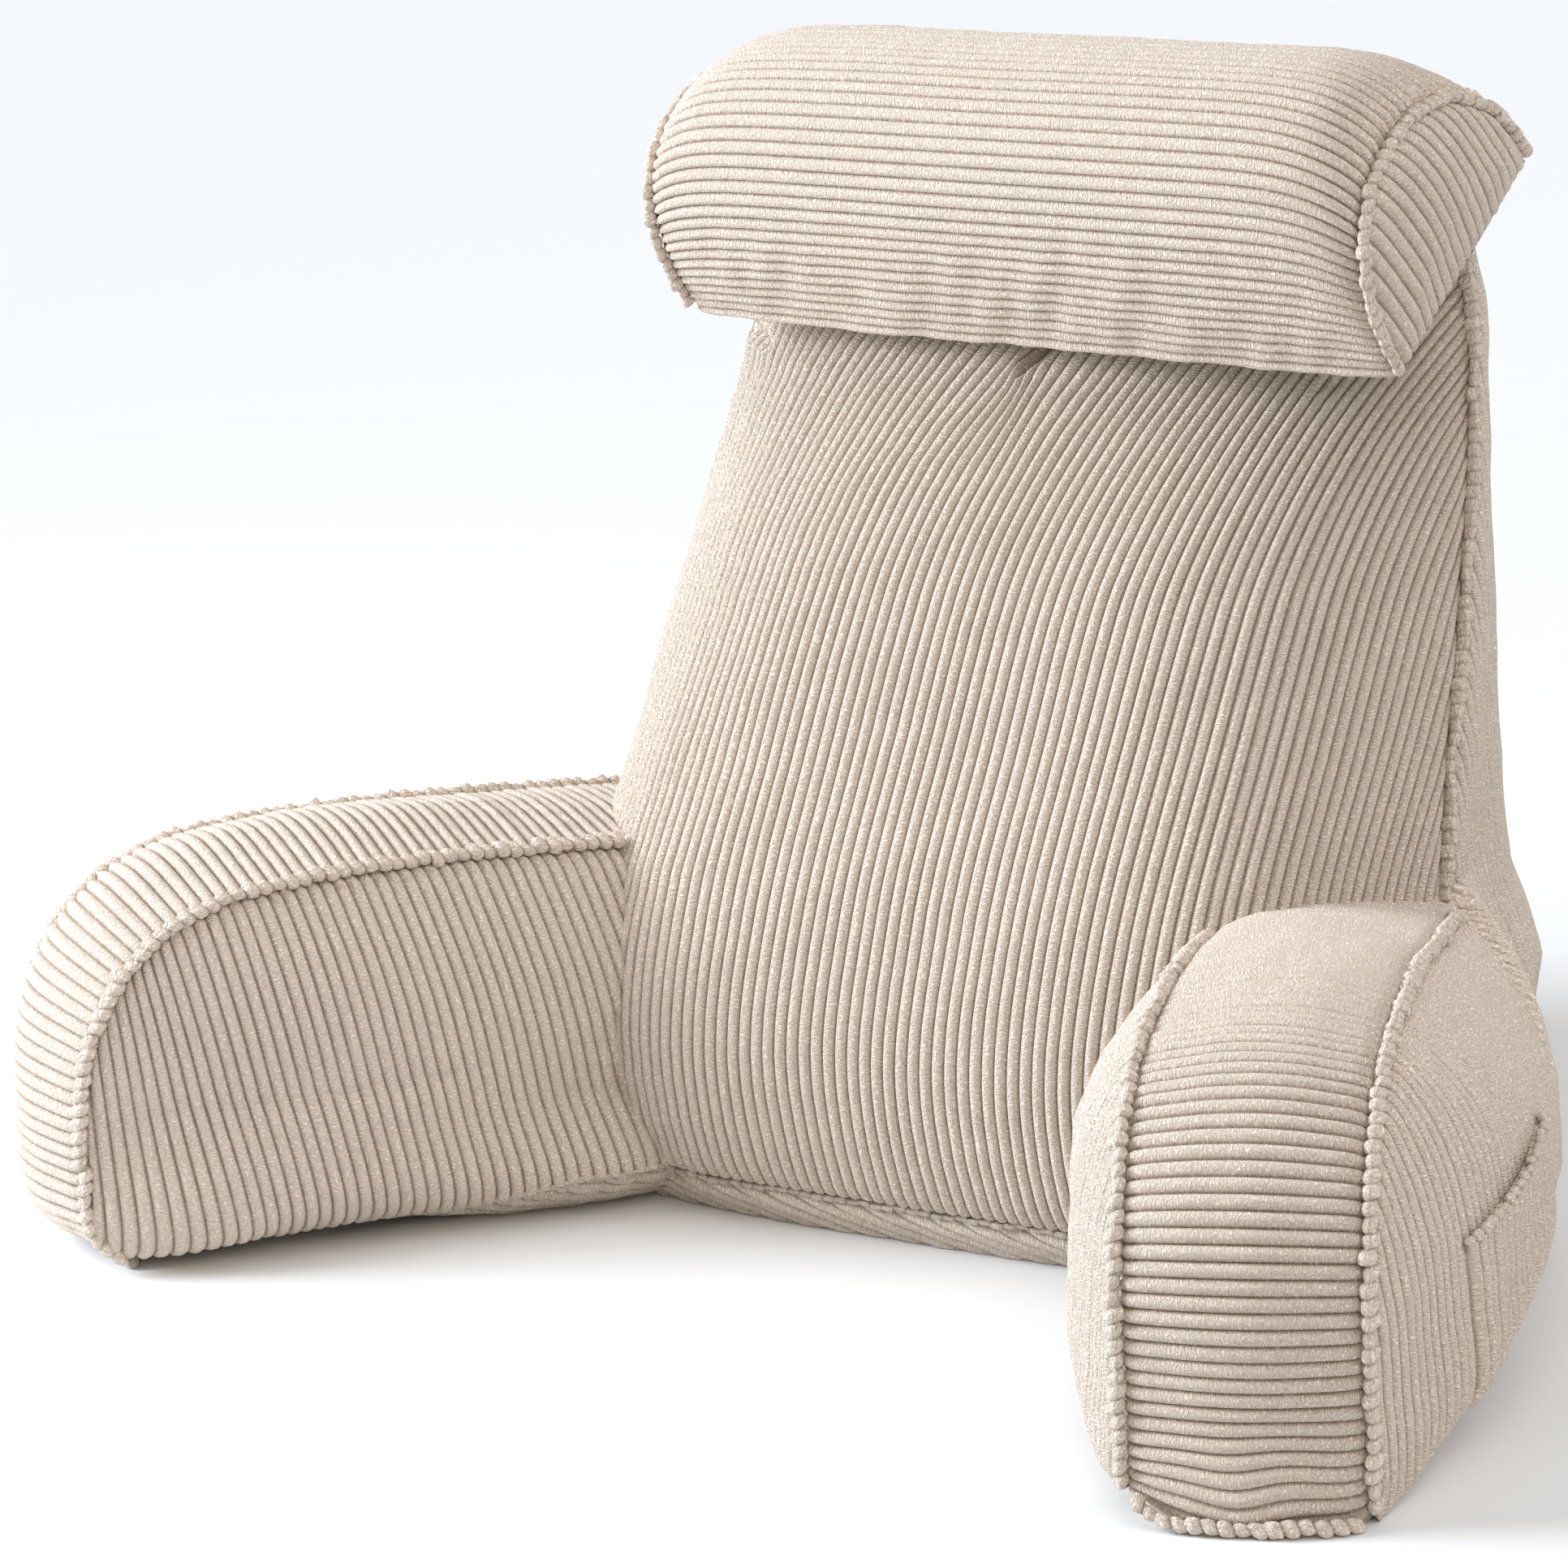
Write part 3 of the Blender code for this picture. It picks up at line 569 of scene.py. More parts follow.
class Cloth:
    """Panels of ribbed cloth that are gathered into one mesh."""

    def __init__(self, name, settings):
        self.name = name
        self.pitch = settings.rib_pitch
        self.depth = settings.rib_depth
        self.points = []
        self.faces = []
        self.places = []
        self.count = 0
        self.seed = sum(ord(letter) for letter in name)

    def add(self, points, faces, across, along):
        """Vertices (..., 3), faces that index them, and their places on the flat cloth."""
        points = points.reshape(-1, 3)
        place = np.stack(np.broadcast_arrays(across, along), -1).reshape(-1, 2)
        self.points.append(points)
        self.faces.append(faces + self.count)
        self.places.append(place / self.pitch)
        self.count += len(points)

    def panel(self, points, normals, across, along, edge, dead=None, lift=0.0):
        """Ribs on a grid of form points. `edge` is each point's distance to its nearest seam."""
        across, along = np.broadcast_to(across, edge.shape), np.broadcast_to(along, edge.shape)
        self.seed += 1
        chance = np.random.default_rng(self.seed)
        number = across / self.pitch
        rib = np.floor(number + 1e-6).astype(int)
        rib -= rib.min()
        fullness = chance.uniform(*RIB_FULLNESS, rib.max() + 1)[rib]
        place = np.stack([number * 0.35, along / self.pitch], -1)
        fullness = fullness * (1.0 + RIB_SWELL * waves(place, 4.0, self.seed))
        start = RIB_START[0] + (1.0 - RIB_START[0]) * smooth_step(edge, 0.0, RIB_START[1])
        height = self.depth * rib_height(number, edge) * fullness * start
        height -= SEAM_PINCH * np.exp(-((edge / SEAM_PINCH_REACH) ** 2))
        swell = CLOTH_SWELL[0] * waves(points, CLOTH_SWELL[1], self.seed + 50)
        height += swell * smooth_step(edge, 0.0, 0.02)
        moved = points + normals * (height + lift)[..., None]
        self.add(moved, grid_faces(moved, normals, dead), across, along)
        return moved

    def object(self, material):
        return mesh_object(
            self.name,
            np.concatenate(self.points),
            np.concatenate(self.faces),
            np.concatenate(self.places),
            material,
        )


def mesh_object(name, points, faces, places, material):
    """A smooth mesh object in the frame from points of the seat's frame and quads."""
    points = points + np.array(SEAT)
    points[:, 2] = np.maximum(points[:, 2], FLOOR_CLEARANCE)
    mesh = bpy.data.meshes.new(name)
    mesh.vertices.add(len(points))
    mesh.vertices.foreach_set("co", points.astype(np.float32).reshape(-1))
    sides = faces.shape[1]
    mesh.loops.add(faces.size)
    mesh.loops.foreach_set("vertex_index", faces.astype(np.int32).reshape(-1))
    mesh.polygons.add(len(faces))
    mesh.polygons.foreach_set("loop_start", np.arange(0, faces.size, sides, dtype=np.int32))
    layer = mesh.uv_layers.new(name="cloth")
    layer.data.foreach_set("uv", places[faces.reshape(-1)].astype(np.float32).reshape(-1))
    mesh.update(calc_edges=True)
    mesh.validate()
    mesh.shade_smooth()
    thing = bpy.data.objects.new(name, mesh)
    thing.data.materials.append(material)
    bpy.context.scene.collection.objects.link(thing)
    return thing


def weld(thing):
    """Join the vertices of neighbouring panels that lie on each other."""
    mesh_builder = bmesh.new()
    mesh_builder.from_mesh(thing.data)
    bmesh.ops.remove_doubles(mesh_builder, verts=mesh_builder.verts, dist=0.00001)
    mesh_builder.to_mesh(thing.data)
    mesh_builder.free()


# ---------------------------------------------------------------- shader maths


class Value:
    """A shader socket that takes part in Python expressions."""

    def __init__(self, maker, socket):
        self.maker = maker
        self.socket = socket

    def math(self, operation, *others):
        return self.maker.node(
            "ShaderNodeMath", {"operation": operation}, {0: self, **dict(enumerate(others, 1))}
        )

    def __add__(self, other):
        return self.math("ADD", other)

    __radd__ = __add__

    def __mul__(self, other):
        return self.math("MULTIPLY", other)

    __rmul__ = __mul__

    def __sub__(self, other):
        return self.math("SUBTRACT", other)

    def __rsub__(self, other):
        return self.maker.node("ShaderNodeMath", {"operation": "SUBTRACT"}, {0: other, 1: self})


class Shader:
    """Makes the nodes of one material."""

    def __init__(self, name):
        self.material = bpy.data.materials.new(name)
        self.material.use_nodes = True
        self.tree = self.material.node_tree
        self.principled = self.tree.nodes["Principled BSDF"]

    def node(self, kind, settings=None, inputs=None, output=0):
        """Any node: its settings first, then the values or links of its sockets."""
        made = self.tree.nodes.new(kind)
        for key, value in (settings or {}).items():
            setattr(made, key, value)
        for key, value in (inputs or {}).items():
            self.feed(made.inputs[key], value)
        return Value(self, made.outputs[output])

    def feed(self, socket, value):
        if isinstance(value, Value):
            self.tree.links.new(value.socket, socket)
        else:
            socket.default_value = value

    def mix_colours(self, share, one, other):
        """Colour `one` at 0 and `other` at 1."""
        return self.node(
            "ShaderNodeMix", {"data_type": "RGBA"}, {0: share, 6: one, 7: other}, output=2
        )

    def scaled(self, vector, factors):
        return self.node(
            "ShaderNodeVectorMath", {"operation": "MULTIPLY"}, {0: vector, 1: factors}
        )

    def soft_step(self, value, low, high):
        """0 below `low` and 1 above `high`."""
        return self.node(
            "ShaderNodeMapRange", {"interpolation_type": "SMOOTHSTEP"}, {0: value, 1: low, 2: high}
        )

    def noise(self, vector, scale, detail=2.0, roughness=0.5):
        return self.node(
            "ShaderNodeTexNoise",
            {"noise_dimensions": "3D"},
            {"Vector": vector, "Scale": scale, "Detail": detail, "Roughness": roughness},
        )


RIB_RAMP = (0.02, 0.50)  # of the rib's profile: from the painted groove shade to the pile's colour
TUFT_SCALE = (3.6, 7.0, 1.0)  # tufts for each rib's width, across and along
STREAK_SCALE = (1.6, 0.22, 1.0)
PATCH_SCALE, GRAIN_SCALE = 9.0, 900.0  # for each metre
TUFT_RAMP = (0.34, 0.66)
SHADES = {"base": 0.88, "tufts": 0.24, "streaks": 0.10, "patches": 0.08}
PILE_RELIEF = 0.0016


def ribbed_cloth(name, settings, crest, groove, rib_share=1.0):
    """Corduroy: tufted pile on the ribs, with shade painted darker into the grooves."""
    shader = Shader(name)
    place = shader.node("ShaderNodeUVMap", {"uv_map": "cloth"})
    number = shader.node("ShaderNodeSeparateXYZ", None, {0: place})  # of the rib
    rib = shader.soft_step((number * math.pi).math("SINE").math("ABSOLUTE"), *RIB_RAMP)
    tufts = shader.noise(shader.scaled(place, TUFT_SCALE), 1.0, 2.0, 0.60)
    tufts = shader.soft_step(tufts, *TUFT_RAMP)
    streaks = shader.noise(shader.scaled(place, STREAK_SCALE), 1.0, 2.0)
    position = shader.node("ShaderNodeTexCoord", None, None, output=3)
    patches = shader.noise(position, PATCH_SCALE, 3.0)
    # painted shade: pile is 0 in the grooves, where shade is painted in, and 1 on the crests; the
    # gathered seams get less of it
    pile = rib * rib_share + (1.0 - rib_share)
    light = SHADES["base"] + SHADES["tufts"] * tufts + (streaks - 0.5) * SHADES["streaks"]
    light = light + (patches - 0.5) * SHADES["patches"]
    # painted shade: the grooves take the darker groove colour, standing in for the shade that
    # falls between the ribs
    colour = shader.mix_colours(pile, (*groove, 1.0), (*crest, 1.0))
    shader.feed(shader.principled.inputs["Base Color"], shader.scaled(colour, light))
    relief = tufts * 0.7 + shader.noise(position, GRAIN_SCALE, 2.0, 0.6) * 0.6
    bump = {"Strength": 1.0, "Distance": PILE_RELIEF, "Height": relief}
    bump = shader.node("ShaderNodeBump", None, bump)
    shader.feed(shader.principled.inputs["Normal"], bump)
    inputs = shader.principled.inputs
    inputs["Roughness"].default_value = 0.88
    inputs["Specular IOR Level"].default_value = 0.22
    inputs["Sheen Weight"].default_value = settings.sheen
    inputs["Sheen Roughness"].default_value = 0.45
    inputs["Sheen Tint"].default_value = (1.0, 0.95, 0.88, 1.0)
    return shader.material


def cloth_materials(settings):
    """The panel cloth and the gathered seam cloth, made once."""
    found = bpy.data.materials.get("ribbed_cloth")
    if found is None:
        crest, groove = tuple(settings.crest_colour), tuple(settings.groove_shade_colour)
        found = ribbed_cloth("ribbed_cloth", settings, crest, groove)
        ribbed_cloth("gathered_cloth", settings, crest, groove, 0.6)
    return found, bpy.data.materials["gathered_cloth"]


def finish_piece(thing, nodes):
    """What every piece needs: its body, with the solids that it stands for hidden."""
    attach(thing, "root")
    if nodes:
        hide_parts(*nodes)


# ---------------------------------------------------------------- the backrest


def front_time(height):
    """The backrest's level at which its front has this height."""
    return float(np.interp(height, BACK_TABLE[:, 4], BACK_TIMES))


def half_widths(times, form, limit, steps=160):
    """How far across each level reaches on the cloth, and a table of form places by that."""
    places = np.linspace(0.0, limit, steps)
    reach = []
    for t in times:
        reach.append(reach_along(form(places, np.full(steps, t))))
    return places, np.array(reach)


def cloth_places(columns, times, form, limit):
    """For each level, the form places this far across the cloth, and the level's half width."""
    places, reach = half_widths(times, form, limit)
    columns = np.broadcast_to(columns, (len(times), np.shape(columns)[-1]))
    found = np.array([np.interp(np.abs(row), steps, places) for row, steps in zip(columns, reach)])
    return found * np.sign(columns), reach[:, -1]


def front_form(share, t):
    """The front as the cloth lies on it: fuller under the roll and at the left edge."""
    points = back_front(share, t)
    height = points[..., 2]
    middle, reach = FRONT_TOP_BAND
    top = np.exp(-(((height - middle) / reach) ** 2)) * (1.0 - share**4)
    low = smooth_step(-points[..., 0], *FRONT_CORNER_ACROSS)
    low = low * (1.0 - smooth_step(height, *FRONT_CORNER_HEIGHTS))
    low = low * (2.0 * smooth_step(height, *FLOOR_EDGE) - 1.0)
    points[..., 1] += FRONT_CORNER_HOLLOW * low - FRONT_TOP_FULLNESS * top
    left = smooth_step(-share, *FRONT_LEFT_SHARES)
    points[..., 0] -= np.interp(height, *FRONT_LEFT_FULLNESS) * left
    return points


def front_panel(cloth):
    """The front panel: ribs lean as they run up it, and the side seams cut them off."""
    foot = front_time(FRONT_FOOT_HEIGHT)
    length = reach_along(back_front(np.zeros(60), np.linspace(foot, 1.0, 60)))[-1]
    rows = run_places(length)
    times = foot + (1.0 - foot) * rows / length
    height = back_front(np.zeros(len(times)), times)[:, 2]
    lean = FRONT_LEAN * np.maximum(height - FRONT_LEAN_START, 0.0) ** 2
    lean = lean + FRONT_FOOT_LEAN * np.maximum(FRONT_FOOT_LEAN_START - height, 0.0) ** 2
    widest = half_widths(times, back_front, 1.0)[1][:, -1].max()
    columns = rib_places(-widest - lean.max(), widest, cloth.pitch)
    across = columns + lean[:, None]
    share, half = cloth_places(across, times, back_front, 1.0)
    t = np.broadcast_to(times[:, None], share.shape)
    points = front_form(share, t)
    inner = np.clip(share, -0.998, 0.998)
    normals = back_normals(front_form, inner, t)
    over = half[:, None] - np.abs(across)
    edge = np.maximum(np.minimum(over, rows[:, None]), 0.0)
    top, low = FRONT_PUCKER
    off = points[..., 0] - np.interp(points[..., 2], (low[1], top[1]), (low[0], top[0]))
    pull = smooth_step(points[..., 2], low[1] - PUCKER_PULL_BELOW, top[1])
    pull = pull * np.exp(-((off / PUCKER_PULL_WIDTH) ** 2))
    points[..., 0] -= np.where(off > 0, PUCKER_PULL[1], PUCKER_PULL[0]) * off * pull
    lift = crease(points, top, low, PUCKER_WIDTH, PUCKER_DEPTH)
    for start, stop, width, depth in FRONT_FOLDS:
        lift = lift + crease(points, start, stop, width, depth)
    dead = over < -1e-6
    cloth.panel(points, normals, columns, rows[:, None], edge, dead=dead, lift=lift)


def foot_strip(cloth):
    """The strip under the front panel that turns in to the floor. Its ribs run aslant."""
    foot = front_time(FRONT_FOOT_HEIGHT)
    path = back_front(np.zeros(40), np.linspace(foot, 0.0, 40))
    reach = reach_along(path)
    down = np.linspace(0.0, reach[-1], 22)
    times = np.interp(down, reach, np.linspace(foot, 0.0, 40))
    shares = np.linspace(-0.97, 0.97, 640)
    a, b = np.meshgrid(shares, times)
    normals = back_normals(front_form, a, b)
    points = front_form(a, b)
    slope = math.atan(FOOT_RIB_SLOPE)
    across = down[:, None] * math.cos(slope) - points[..., 0] * math.sin(slope)
    edge = np.broadcast_to(down[:, None], a.shape)
    cloth.panel(points, normals, across, points[..., 0], edge)


def back_panel(cloth):
    """The back panel, between the two side panels."""
    levels = np.linspace(0.0, 1.0, 90)
    limit = math.radians(90.0 - BACK_PANEL_ANGLE)

    def form(turn, t):
        return back_hollowed(math.pi / 2 - turn, t)

    widest = half_widths(levels, form, limit)[1][:, -1].max()
    columns = rib_places(-widest, widest, cloth.pitch)
    turns, half = cloth_places(columns, levels, form, limit)
    length = reach_along(form(np.zeros(60), np.linspace(0.0, 1.0, 60)))[-1]
    rows = run_places(length, sewn=(False, False), step=0.010)
    times = rows / length
    turn = np.stack([np.interp(times, levels, turns[:, k]) for k in range(len(columns))], 1)
    t = np.broadcast_to(times[:, None], turn.shape)
    normals = back_normals(form, turn, t)
    level_half = np.interp(times, levels, half)[:, None]
    over = level_half - np.abs(columns)
    dead = over < -1e-6
    edge = np.maximum(over, 0.0)
    cloth.panel(form(turn, t), normals, columns, rows[:, None], edge, dead=dead)


def under_cloth(cloth):
    """Plain cloth just under the side and back panels, where their edges meet."""
    turns, times = np.meshgrid(np.linspace(0.02, math.pi - 0.02, 90), np.linspace(0.0, 1.0, 60))
    normals = back_normals(back_hollowed, turns, times, 0.01)
    points = back_hollowed(turns, times) - UNDER_PANELS * normals
    cloth.add(points, grid_faces(points, normals), 0.5 * cloth.pitch, points[..., 2])


def back_lids(cloth):
    """The backrest's flat underside and its sloped top, which the neck roll covers."""
    shares = np.linspace(-1.0, 1.0, 61)
    for t, up in ((0.0, -1.0), (1.0, 1.0)):
        front = back_front(shares, np.full(len(shares), t))
        rear = back_wrap(np.arccos(shares), np.full(len(shares), t))
        steps = np.linspace(0.0, 1.0, 13)[:, None, None]
        points = front + (rear - front) * steps
        facing = np.broadcast_to(np.array((0.0, 0.0, up)), points.shape)
        cloth.add(points, grid_faces(points, facing), points[..., 0], points[..., 1])


# ---------------------------------------------------------------- the arms and the side panels


SIDE_TABLE_ALONG = (-0.33, 0.08)
SIDE_TABLE_HEIGHTS = (-0.004, 0.50)
FROM_OUTSIDE = 0.6  # the rays start this far across
GAP_STEP = 0.003  # an empty place lies this much further in than its neighbours
FAR_INSIDE = -0.2  # and one that no neighbour reaches lies here


def back_side_table(side, pitch=0.004):
    """How far across an arm's frame the backrest's side lies, on a grid of its places."""
    turns, times = np.meshgrid(np.linspace(-0.35, 1.65, 150), np.linspace(0.0, 1.0, 110))
    sign = 1.0 if side == "right" else -1.0
    wrap = back_wrap(np.clip(turns, 0.0, 2.0), times)
    front = back_front(1.0 + np.minimum(turns, 0.0), times)
    points = np.where((turns < 0.0)[..., None], front, wrap)
    if side == "left":
        fuller = np.interp(points[..., 2], *FRONT_LEFT_FULLNESS)
        fuller = fuller * (1.0 - smooth_step(turns, 0.0, 1.2))
        points[..., 0] += fuller
    points[..., 0] *= sign
    tree = BVHTree.FromPolygons(points.reshape(-1, 3).tolist(), grid_faces(points).tolist())
    alongs = np.arange(*SIDE_TABLE_ALONG, pitch)
    heights = np.arange(*SIDE_TABLE_HEIGHTS, pitch)
    _, _, outward = arm_axes(side)
    table = np.full((len(heights), len(alongs)), np.nan)
    for row, height in enumerate(heights):
        for column, along in enumerate(alongs):
            origin = from_arm(side, along, FROM_OUTSIDE, max(height, 0.0006))
            hit = tree.ray_cast(Vector(origin), Vector(-outward))[0]
            if hit is not None:
                table[row, column] = to_arm(side, np.array(hit))[1]
    return alongs, heights, fill_gaps(table)


def fill_gaps(table, rounds=60):
    """The table with its empty places filled in from their neighbours."""
    table = table.copy()
    for _ in range(rounds):
        padded = np.pad(table, 1, constant_values=np.nan)
        above, below = padded[:-2, 1:-1], padded[2:, 1:-1]
        around = np.stack([above, below, padded[1:-1, :-2], padded[1:-1, 2:]])
        known = np.isfinite(around).sum(axis=0)
        mean = np.nansum(around, axis=0) / np.maximum(known, 1)
        fill = ~np.isfinite(table) & (known > 0)
        table[fill] = mean[fill] - GAP_STEP
    return np.nan_to_num(table, nan=FAR_INSIDE)


def look_up(table, along, height):
    """A smooth value between the places of a regular table."""
    alongs, heights, values = table
    u = np.clip((along - alongs[0]) / (alongs[1] - alongs[0]), 0.0, len(alongs) - 1.001)
    v = np.clip((height - heights[0]) / (heights[1] - heights[0]), 0.0, len(heights) - 1.001)
    i, j = u.astype(int), v.astype(int)
    u, v = u - i, v - j
    low = values[j, i] * (1 - u) + values[j, i + 1] * u
    high = values[j + 1, i] * (1 - u) + values[j + 1, i + 1] * u
    return low * (1 - v) + high * v


def side_chain(side, whole=False):
    """The side panel's upper border, (along, height): top edge, side seam, arm's seam.

    With `whole` it starts with the rear edge, from where that lies furthest back.
    """
    sign = 1.0 if side == "right" else -1.0
    mirror = np.array((sign, 1.0, 1.0))
    turns = np.radians(np.linspace(BACK_PANEL_ANGLE, 0.0, 14))
    top_edge = to_arm(side, back_wrap(turns, np.ones(len(turns))) * mirror)[:, (0, 2)]
    times = np.linspace(1.0, 0.0, 200)
    arm = arm_top_and_front(side, 200, 1.0)
    ridge = to_arm(side, front_form(np.full(len(times), sign), times))[:, (0, 2)]
    arm = arm[: np.argmax(arm[:, 0]) + 1]
    if side == "right":
        ridge = ridge[(ridge[:, 1] > arm[0, 1]) & (ridge[:, 0] < ARM_OUTER_START - 0.004)]
    else:
        ridge = ridge[ridge[:, 1] > np.interp(ridge[:, 0], arm[:, 0], arm[:, 1]) + 0.001]
        arm = arm[arm[:, 0] > ridge[-1, 0]]
    chain = np.concatenate([top_edge, ridge, arm])
    if not whole:
        return chain
    rear = rear_edge(side)
    return np.concatenate([rear[: np.argmin(rear[:, 0])][::-1], chain])


def rear_edge(side):
    """The side panel's rear border, (along, height), from the top to the floor."""
    turn = math.radians(BACK_PANEL_ANGLE)
    if side == "left":
        turn = math.pi - turn
    times = np.linspace(1.0, 0.0, 80)
    return to_arm(side, back_hollowed(np.full(len(times), turn), times))[:, (0, 2)]


def lower_chain(side):
    """The side panel's rear and lower border, from where it lies furthest back to the front."""
    rear = rear_edge(side)
    rear = rear[np.argmin(rear[:, 0]) :]
    arm = arm_top_and_front(side, 200, 1.0)
    foot = arm[np.argmax(arm[:, 0]) :][::-1]
    return np.concatenate([rear, foot])


def between_chains(upper, lower, columns, rows, lean=0.0):
    """(along, height) that fill the stretch between two chains at each, maybe leaning, column."""
    order = np.argsort(lower[:, 0], kind="stable")
    lean = np.broadcast_to(lean, columns.shape)
    top = bottom = np.full(columns.shape, ARM_MIDDLE[1])
    for _ in range(12):
        at_top = columns + lean * (top - ARM_MIDDLE[1])
        at_bottom = columns + lean * (bottom - ARM_MIDDLE[1])
        top = 0.5 * (top + np.interp(at_top, upper[:, 0], upper[:, 1]))
        bottom = 0.5 * (bottom + np.interp(at_bottom, lower[order, 0], lower[order, 1]))
    heights = bottom + (np.maximum(top, bottom + 0.001) - bottom) * rows[:, None]
    return columns + lean * (heights - ARM_MIDDLE[1]), heights


def side_form(side, table):
    """The form of the one-piece side panel, as a function of (along, height)."""
    upper = side_chain(side)

    def form(along, height):
        arm = arm_face(side, "outer", along, height)
        near = distance_to_path(np.stack([along, height], -1), upper[::6])
        back = look_up(table, along, height)
        inside = smooth_step(near, 0.0, BORDER_REACH)
        back = back - np.interp(height, *SIDE_HOLLOW) * inside
        softness = BORDER_SOFTNESS + FILLET * inside
        return from_arm(side, along, smooth_max(arm, back, softness), height)

    return form


def side_panel(cloth, side, table):
    """The backrest's side and the arm's outer face, one panel of upright ribs."""
    upper, lower = side_chain(side, whole=True), lower_chain(side)
    form = side_form(side, table)
    level = np.linspace(lower[:, 0].min() + 0.0005, upper[-1, 0] - 0.0005, 300)
    reach = reach_along(form(level, np.full(len(level), ARM_MIDDLE[1])))
    across = rib_places(0.0, reach[-1], cloth.pitch)
    columns = np.interp(across, reach, level)
    rows = run_places(SIDE_PANEL_LENGTH, sewn=(False, True)) / SIDE_PANEL_LENGTH
    along, heights = between_chains(upper, lower, columns, rows)
    points = form(along, heights)
    normals = arm_normals(side, form, along, heights)
    edge = distance_to_path(np.stack([along, heights], -1), upper[::4])
    wavy = OUTER_WAVE * np.exp(-((edge / OUTER_WAVE_REACH) ** 2))
    wavy = wavy * np.sin(heights / 0.0055 + along / 0.02)
    wavy = wavy * smooth_step(along, *OUTER_WAVE_ALONG)
    points = settled(side, points + arm_axes(side)[1] * wavy[..., None])
    cloth.panel(points, normals, across, heights, edge)


def inner_form(side):
    """The form of an arm's inner face, as a function of (along, height)."""

    def form(along, height):
        return from_arm(side, along, arm_face(side, "inner", along, height), height)

    return form


def inner_panel(cloth, side):
    """The arm's inner face, from the backrest to the front seam."""
    arm = arm_top_and_front(side, 300)
    nose = np.argmax(arm[:, 0])
    upper, lower = arm[: nose + 1], arm[nose:][::-1]
    lower = np.concatenate([[(-0.2, 0.0)], lower])
    if side == "left":
        level = np.linspace(-0.2, 0.18, 60)
        seam = np.stack([level, np.interp(level, *ARM_FOOT_SEAM)], -1)
        lower = np.concatenate([seam, lower[lower[:, 0] > 0.181]])

    form = inner_form(side)
    level = np.linspace(-0.03, ARM_LENGTH - 0.0005, 200)
    reach = reach_along(form(level, np.full(len(level), ARM_MIDDLE[1])))
    across = rib_places(0.0, reach[-1], cloth.pitch)
    columns = np.interp(across, reach, level)
    rows = run_places(INNER_PANEL_LENGTH, sewn=(False, True)) / INNER_PANEL_LENGTH
    lean = INNER_LEAN * (1.0 - smooth_step(columns, ARM_LENGTH - INNER_LEAN_FADE, ARM_LENGTH))
    along, heights = between_chains(upper, lower, columns, rows, lean)
    normals = arm_normals(side, form, along, heights)
    edge = distance_to_path(np.stack([along, heights], -1), upper[::3])
    cloth.panel(settled(side, form(along, heights)), normals, across, heights, edge)


def arm_foot_strip(cloth, side):
    """The strip under the left arm's inner panel, by the backrest. Its ribs run aslant."""
    along = np.linspace(-0.03, ARM_FOOT_SEAM[0][1], 130)
    heights = np.interp(along, *ARM_FOOT_SEAM) * np.linspace(1.0, 0.0, 12)[:, None]
    along = np.broadcast_to(along, heights.shape)
    form = inner_form(side)
    normals = arm_normals(side, form, along, heights)
    slope = math.atan(ARM_FOOT_RIB_SLOPE)
    across = 1.5 * heights * math.cos(slope) - along * math.sin(slope)
    edge = heights[0] - heights
    cloth.panel(settled(side, form(along, heights)), normals, across, along, edge)


def arm_foot_path(side, count=110):
    """The seam between the left arm's inner panel and the strip under it."""
    along = np.linspace(0.0, ARM_FOOT_SEAM[0][1] - 0.01, count)
    height = np.interp(along, *ARM_FOOT_SEAM)
    points = settled(side, inner_form(side)(along, height))
    _, _, outward = arm_axes(side)
    return points, np.broadcast_to(-outward - np.array((0.0, 0.0, 0.5)), points.shape)


def settled(side, points):
    """Lift the left arm's inner lower edge and the right arm's inner front corner."""
    along, across, height = np.moveaxis(to_arm(side, points), -1, 0)
    low = np.clip(1.0 - height / LOW_EDGE_HEIGHT, 0.0, 1.0) ** 2
    rise = LOW_EDGE_LIFT[side] * (1.0 - smooth_step(across, *LOW_EDGE_ACROSS))
    rise = rise * smooth_step(along, *LOW_EDGE_ALONG)
    if side == "right":
        reach_across, reach_along = CORNER_REACH
        corner = np.exp(-((across / reach_across) ** 2))
        corner = corner * smooth_step(along, ARM_LENGTH - reach_along, ARM_LENGTH)
        rise = rise + CORNER_LIFT * corner
    return points + (rise * low)[..., None] * np.array((0.0, 0.0, 1.0))


def strip_crown(side, at, share):
    """How far the strip swells off its outline at (along, height) `at`, `share` across it."""
    along, height = at[..., 0], at[..., 1]
    tilt = CROWN_TILT[side] - REAR_TILT[side] * (1.0 - smooth_step(along, *REAR_TILT_ALONG))
    crown = ARM_CROWN[side] * np.sin(math.pi * share**tilt)
    ahead = smooth_step(along, ARM_LENGTH - CROWN_FADE_LENGTH, ARM_LENGTH)
    at_floor = CROWN_AT_FLOOR[side] * ahead
    at_floor = at_floor + (1.0 - at_floor) * np.clip(height / CROWN_FADE_HEIGHT, 0.0, 1.0)
    rear = REAR_CROWN[side]
    crown = crown * at_floor * (rear + (1.0 - rear) * smooth_step(along, *REAR_CROWN_ALONG))
    more = CROWN_AHEAD[side] * smooth_step(along, *CROWN_AHEAD_ALONG)
    more = more * np.sin(math.pi * share)
    return crown + more * np.clip(height / CROWN_AHEAD_HEIGHT, 0.0, 1.0)


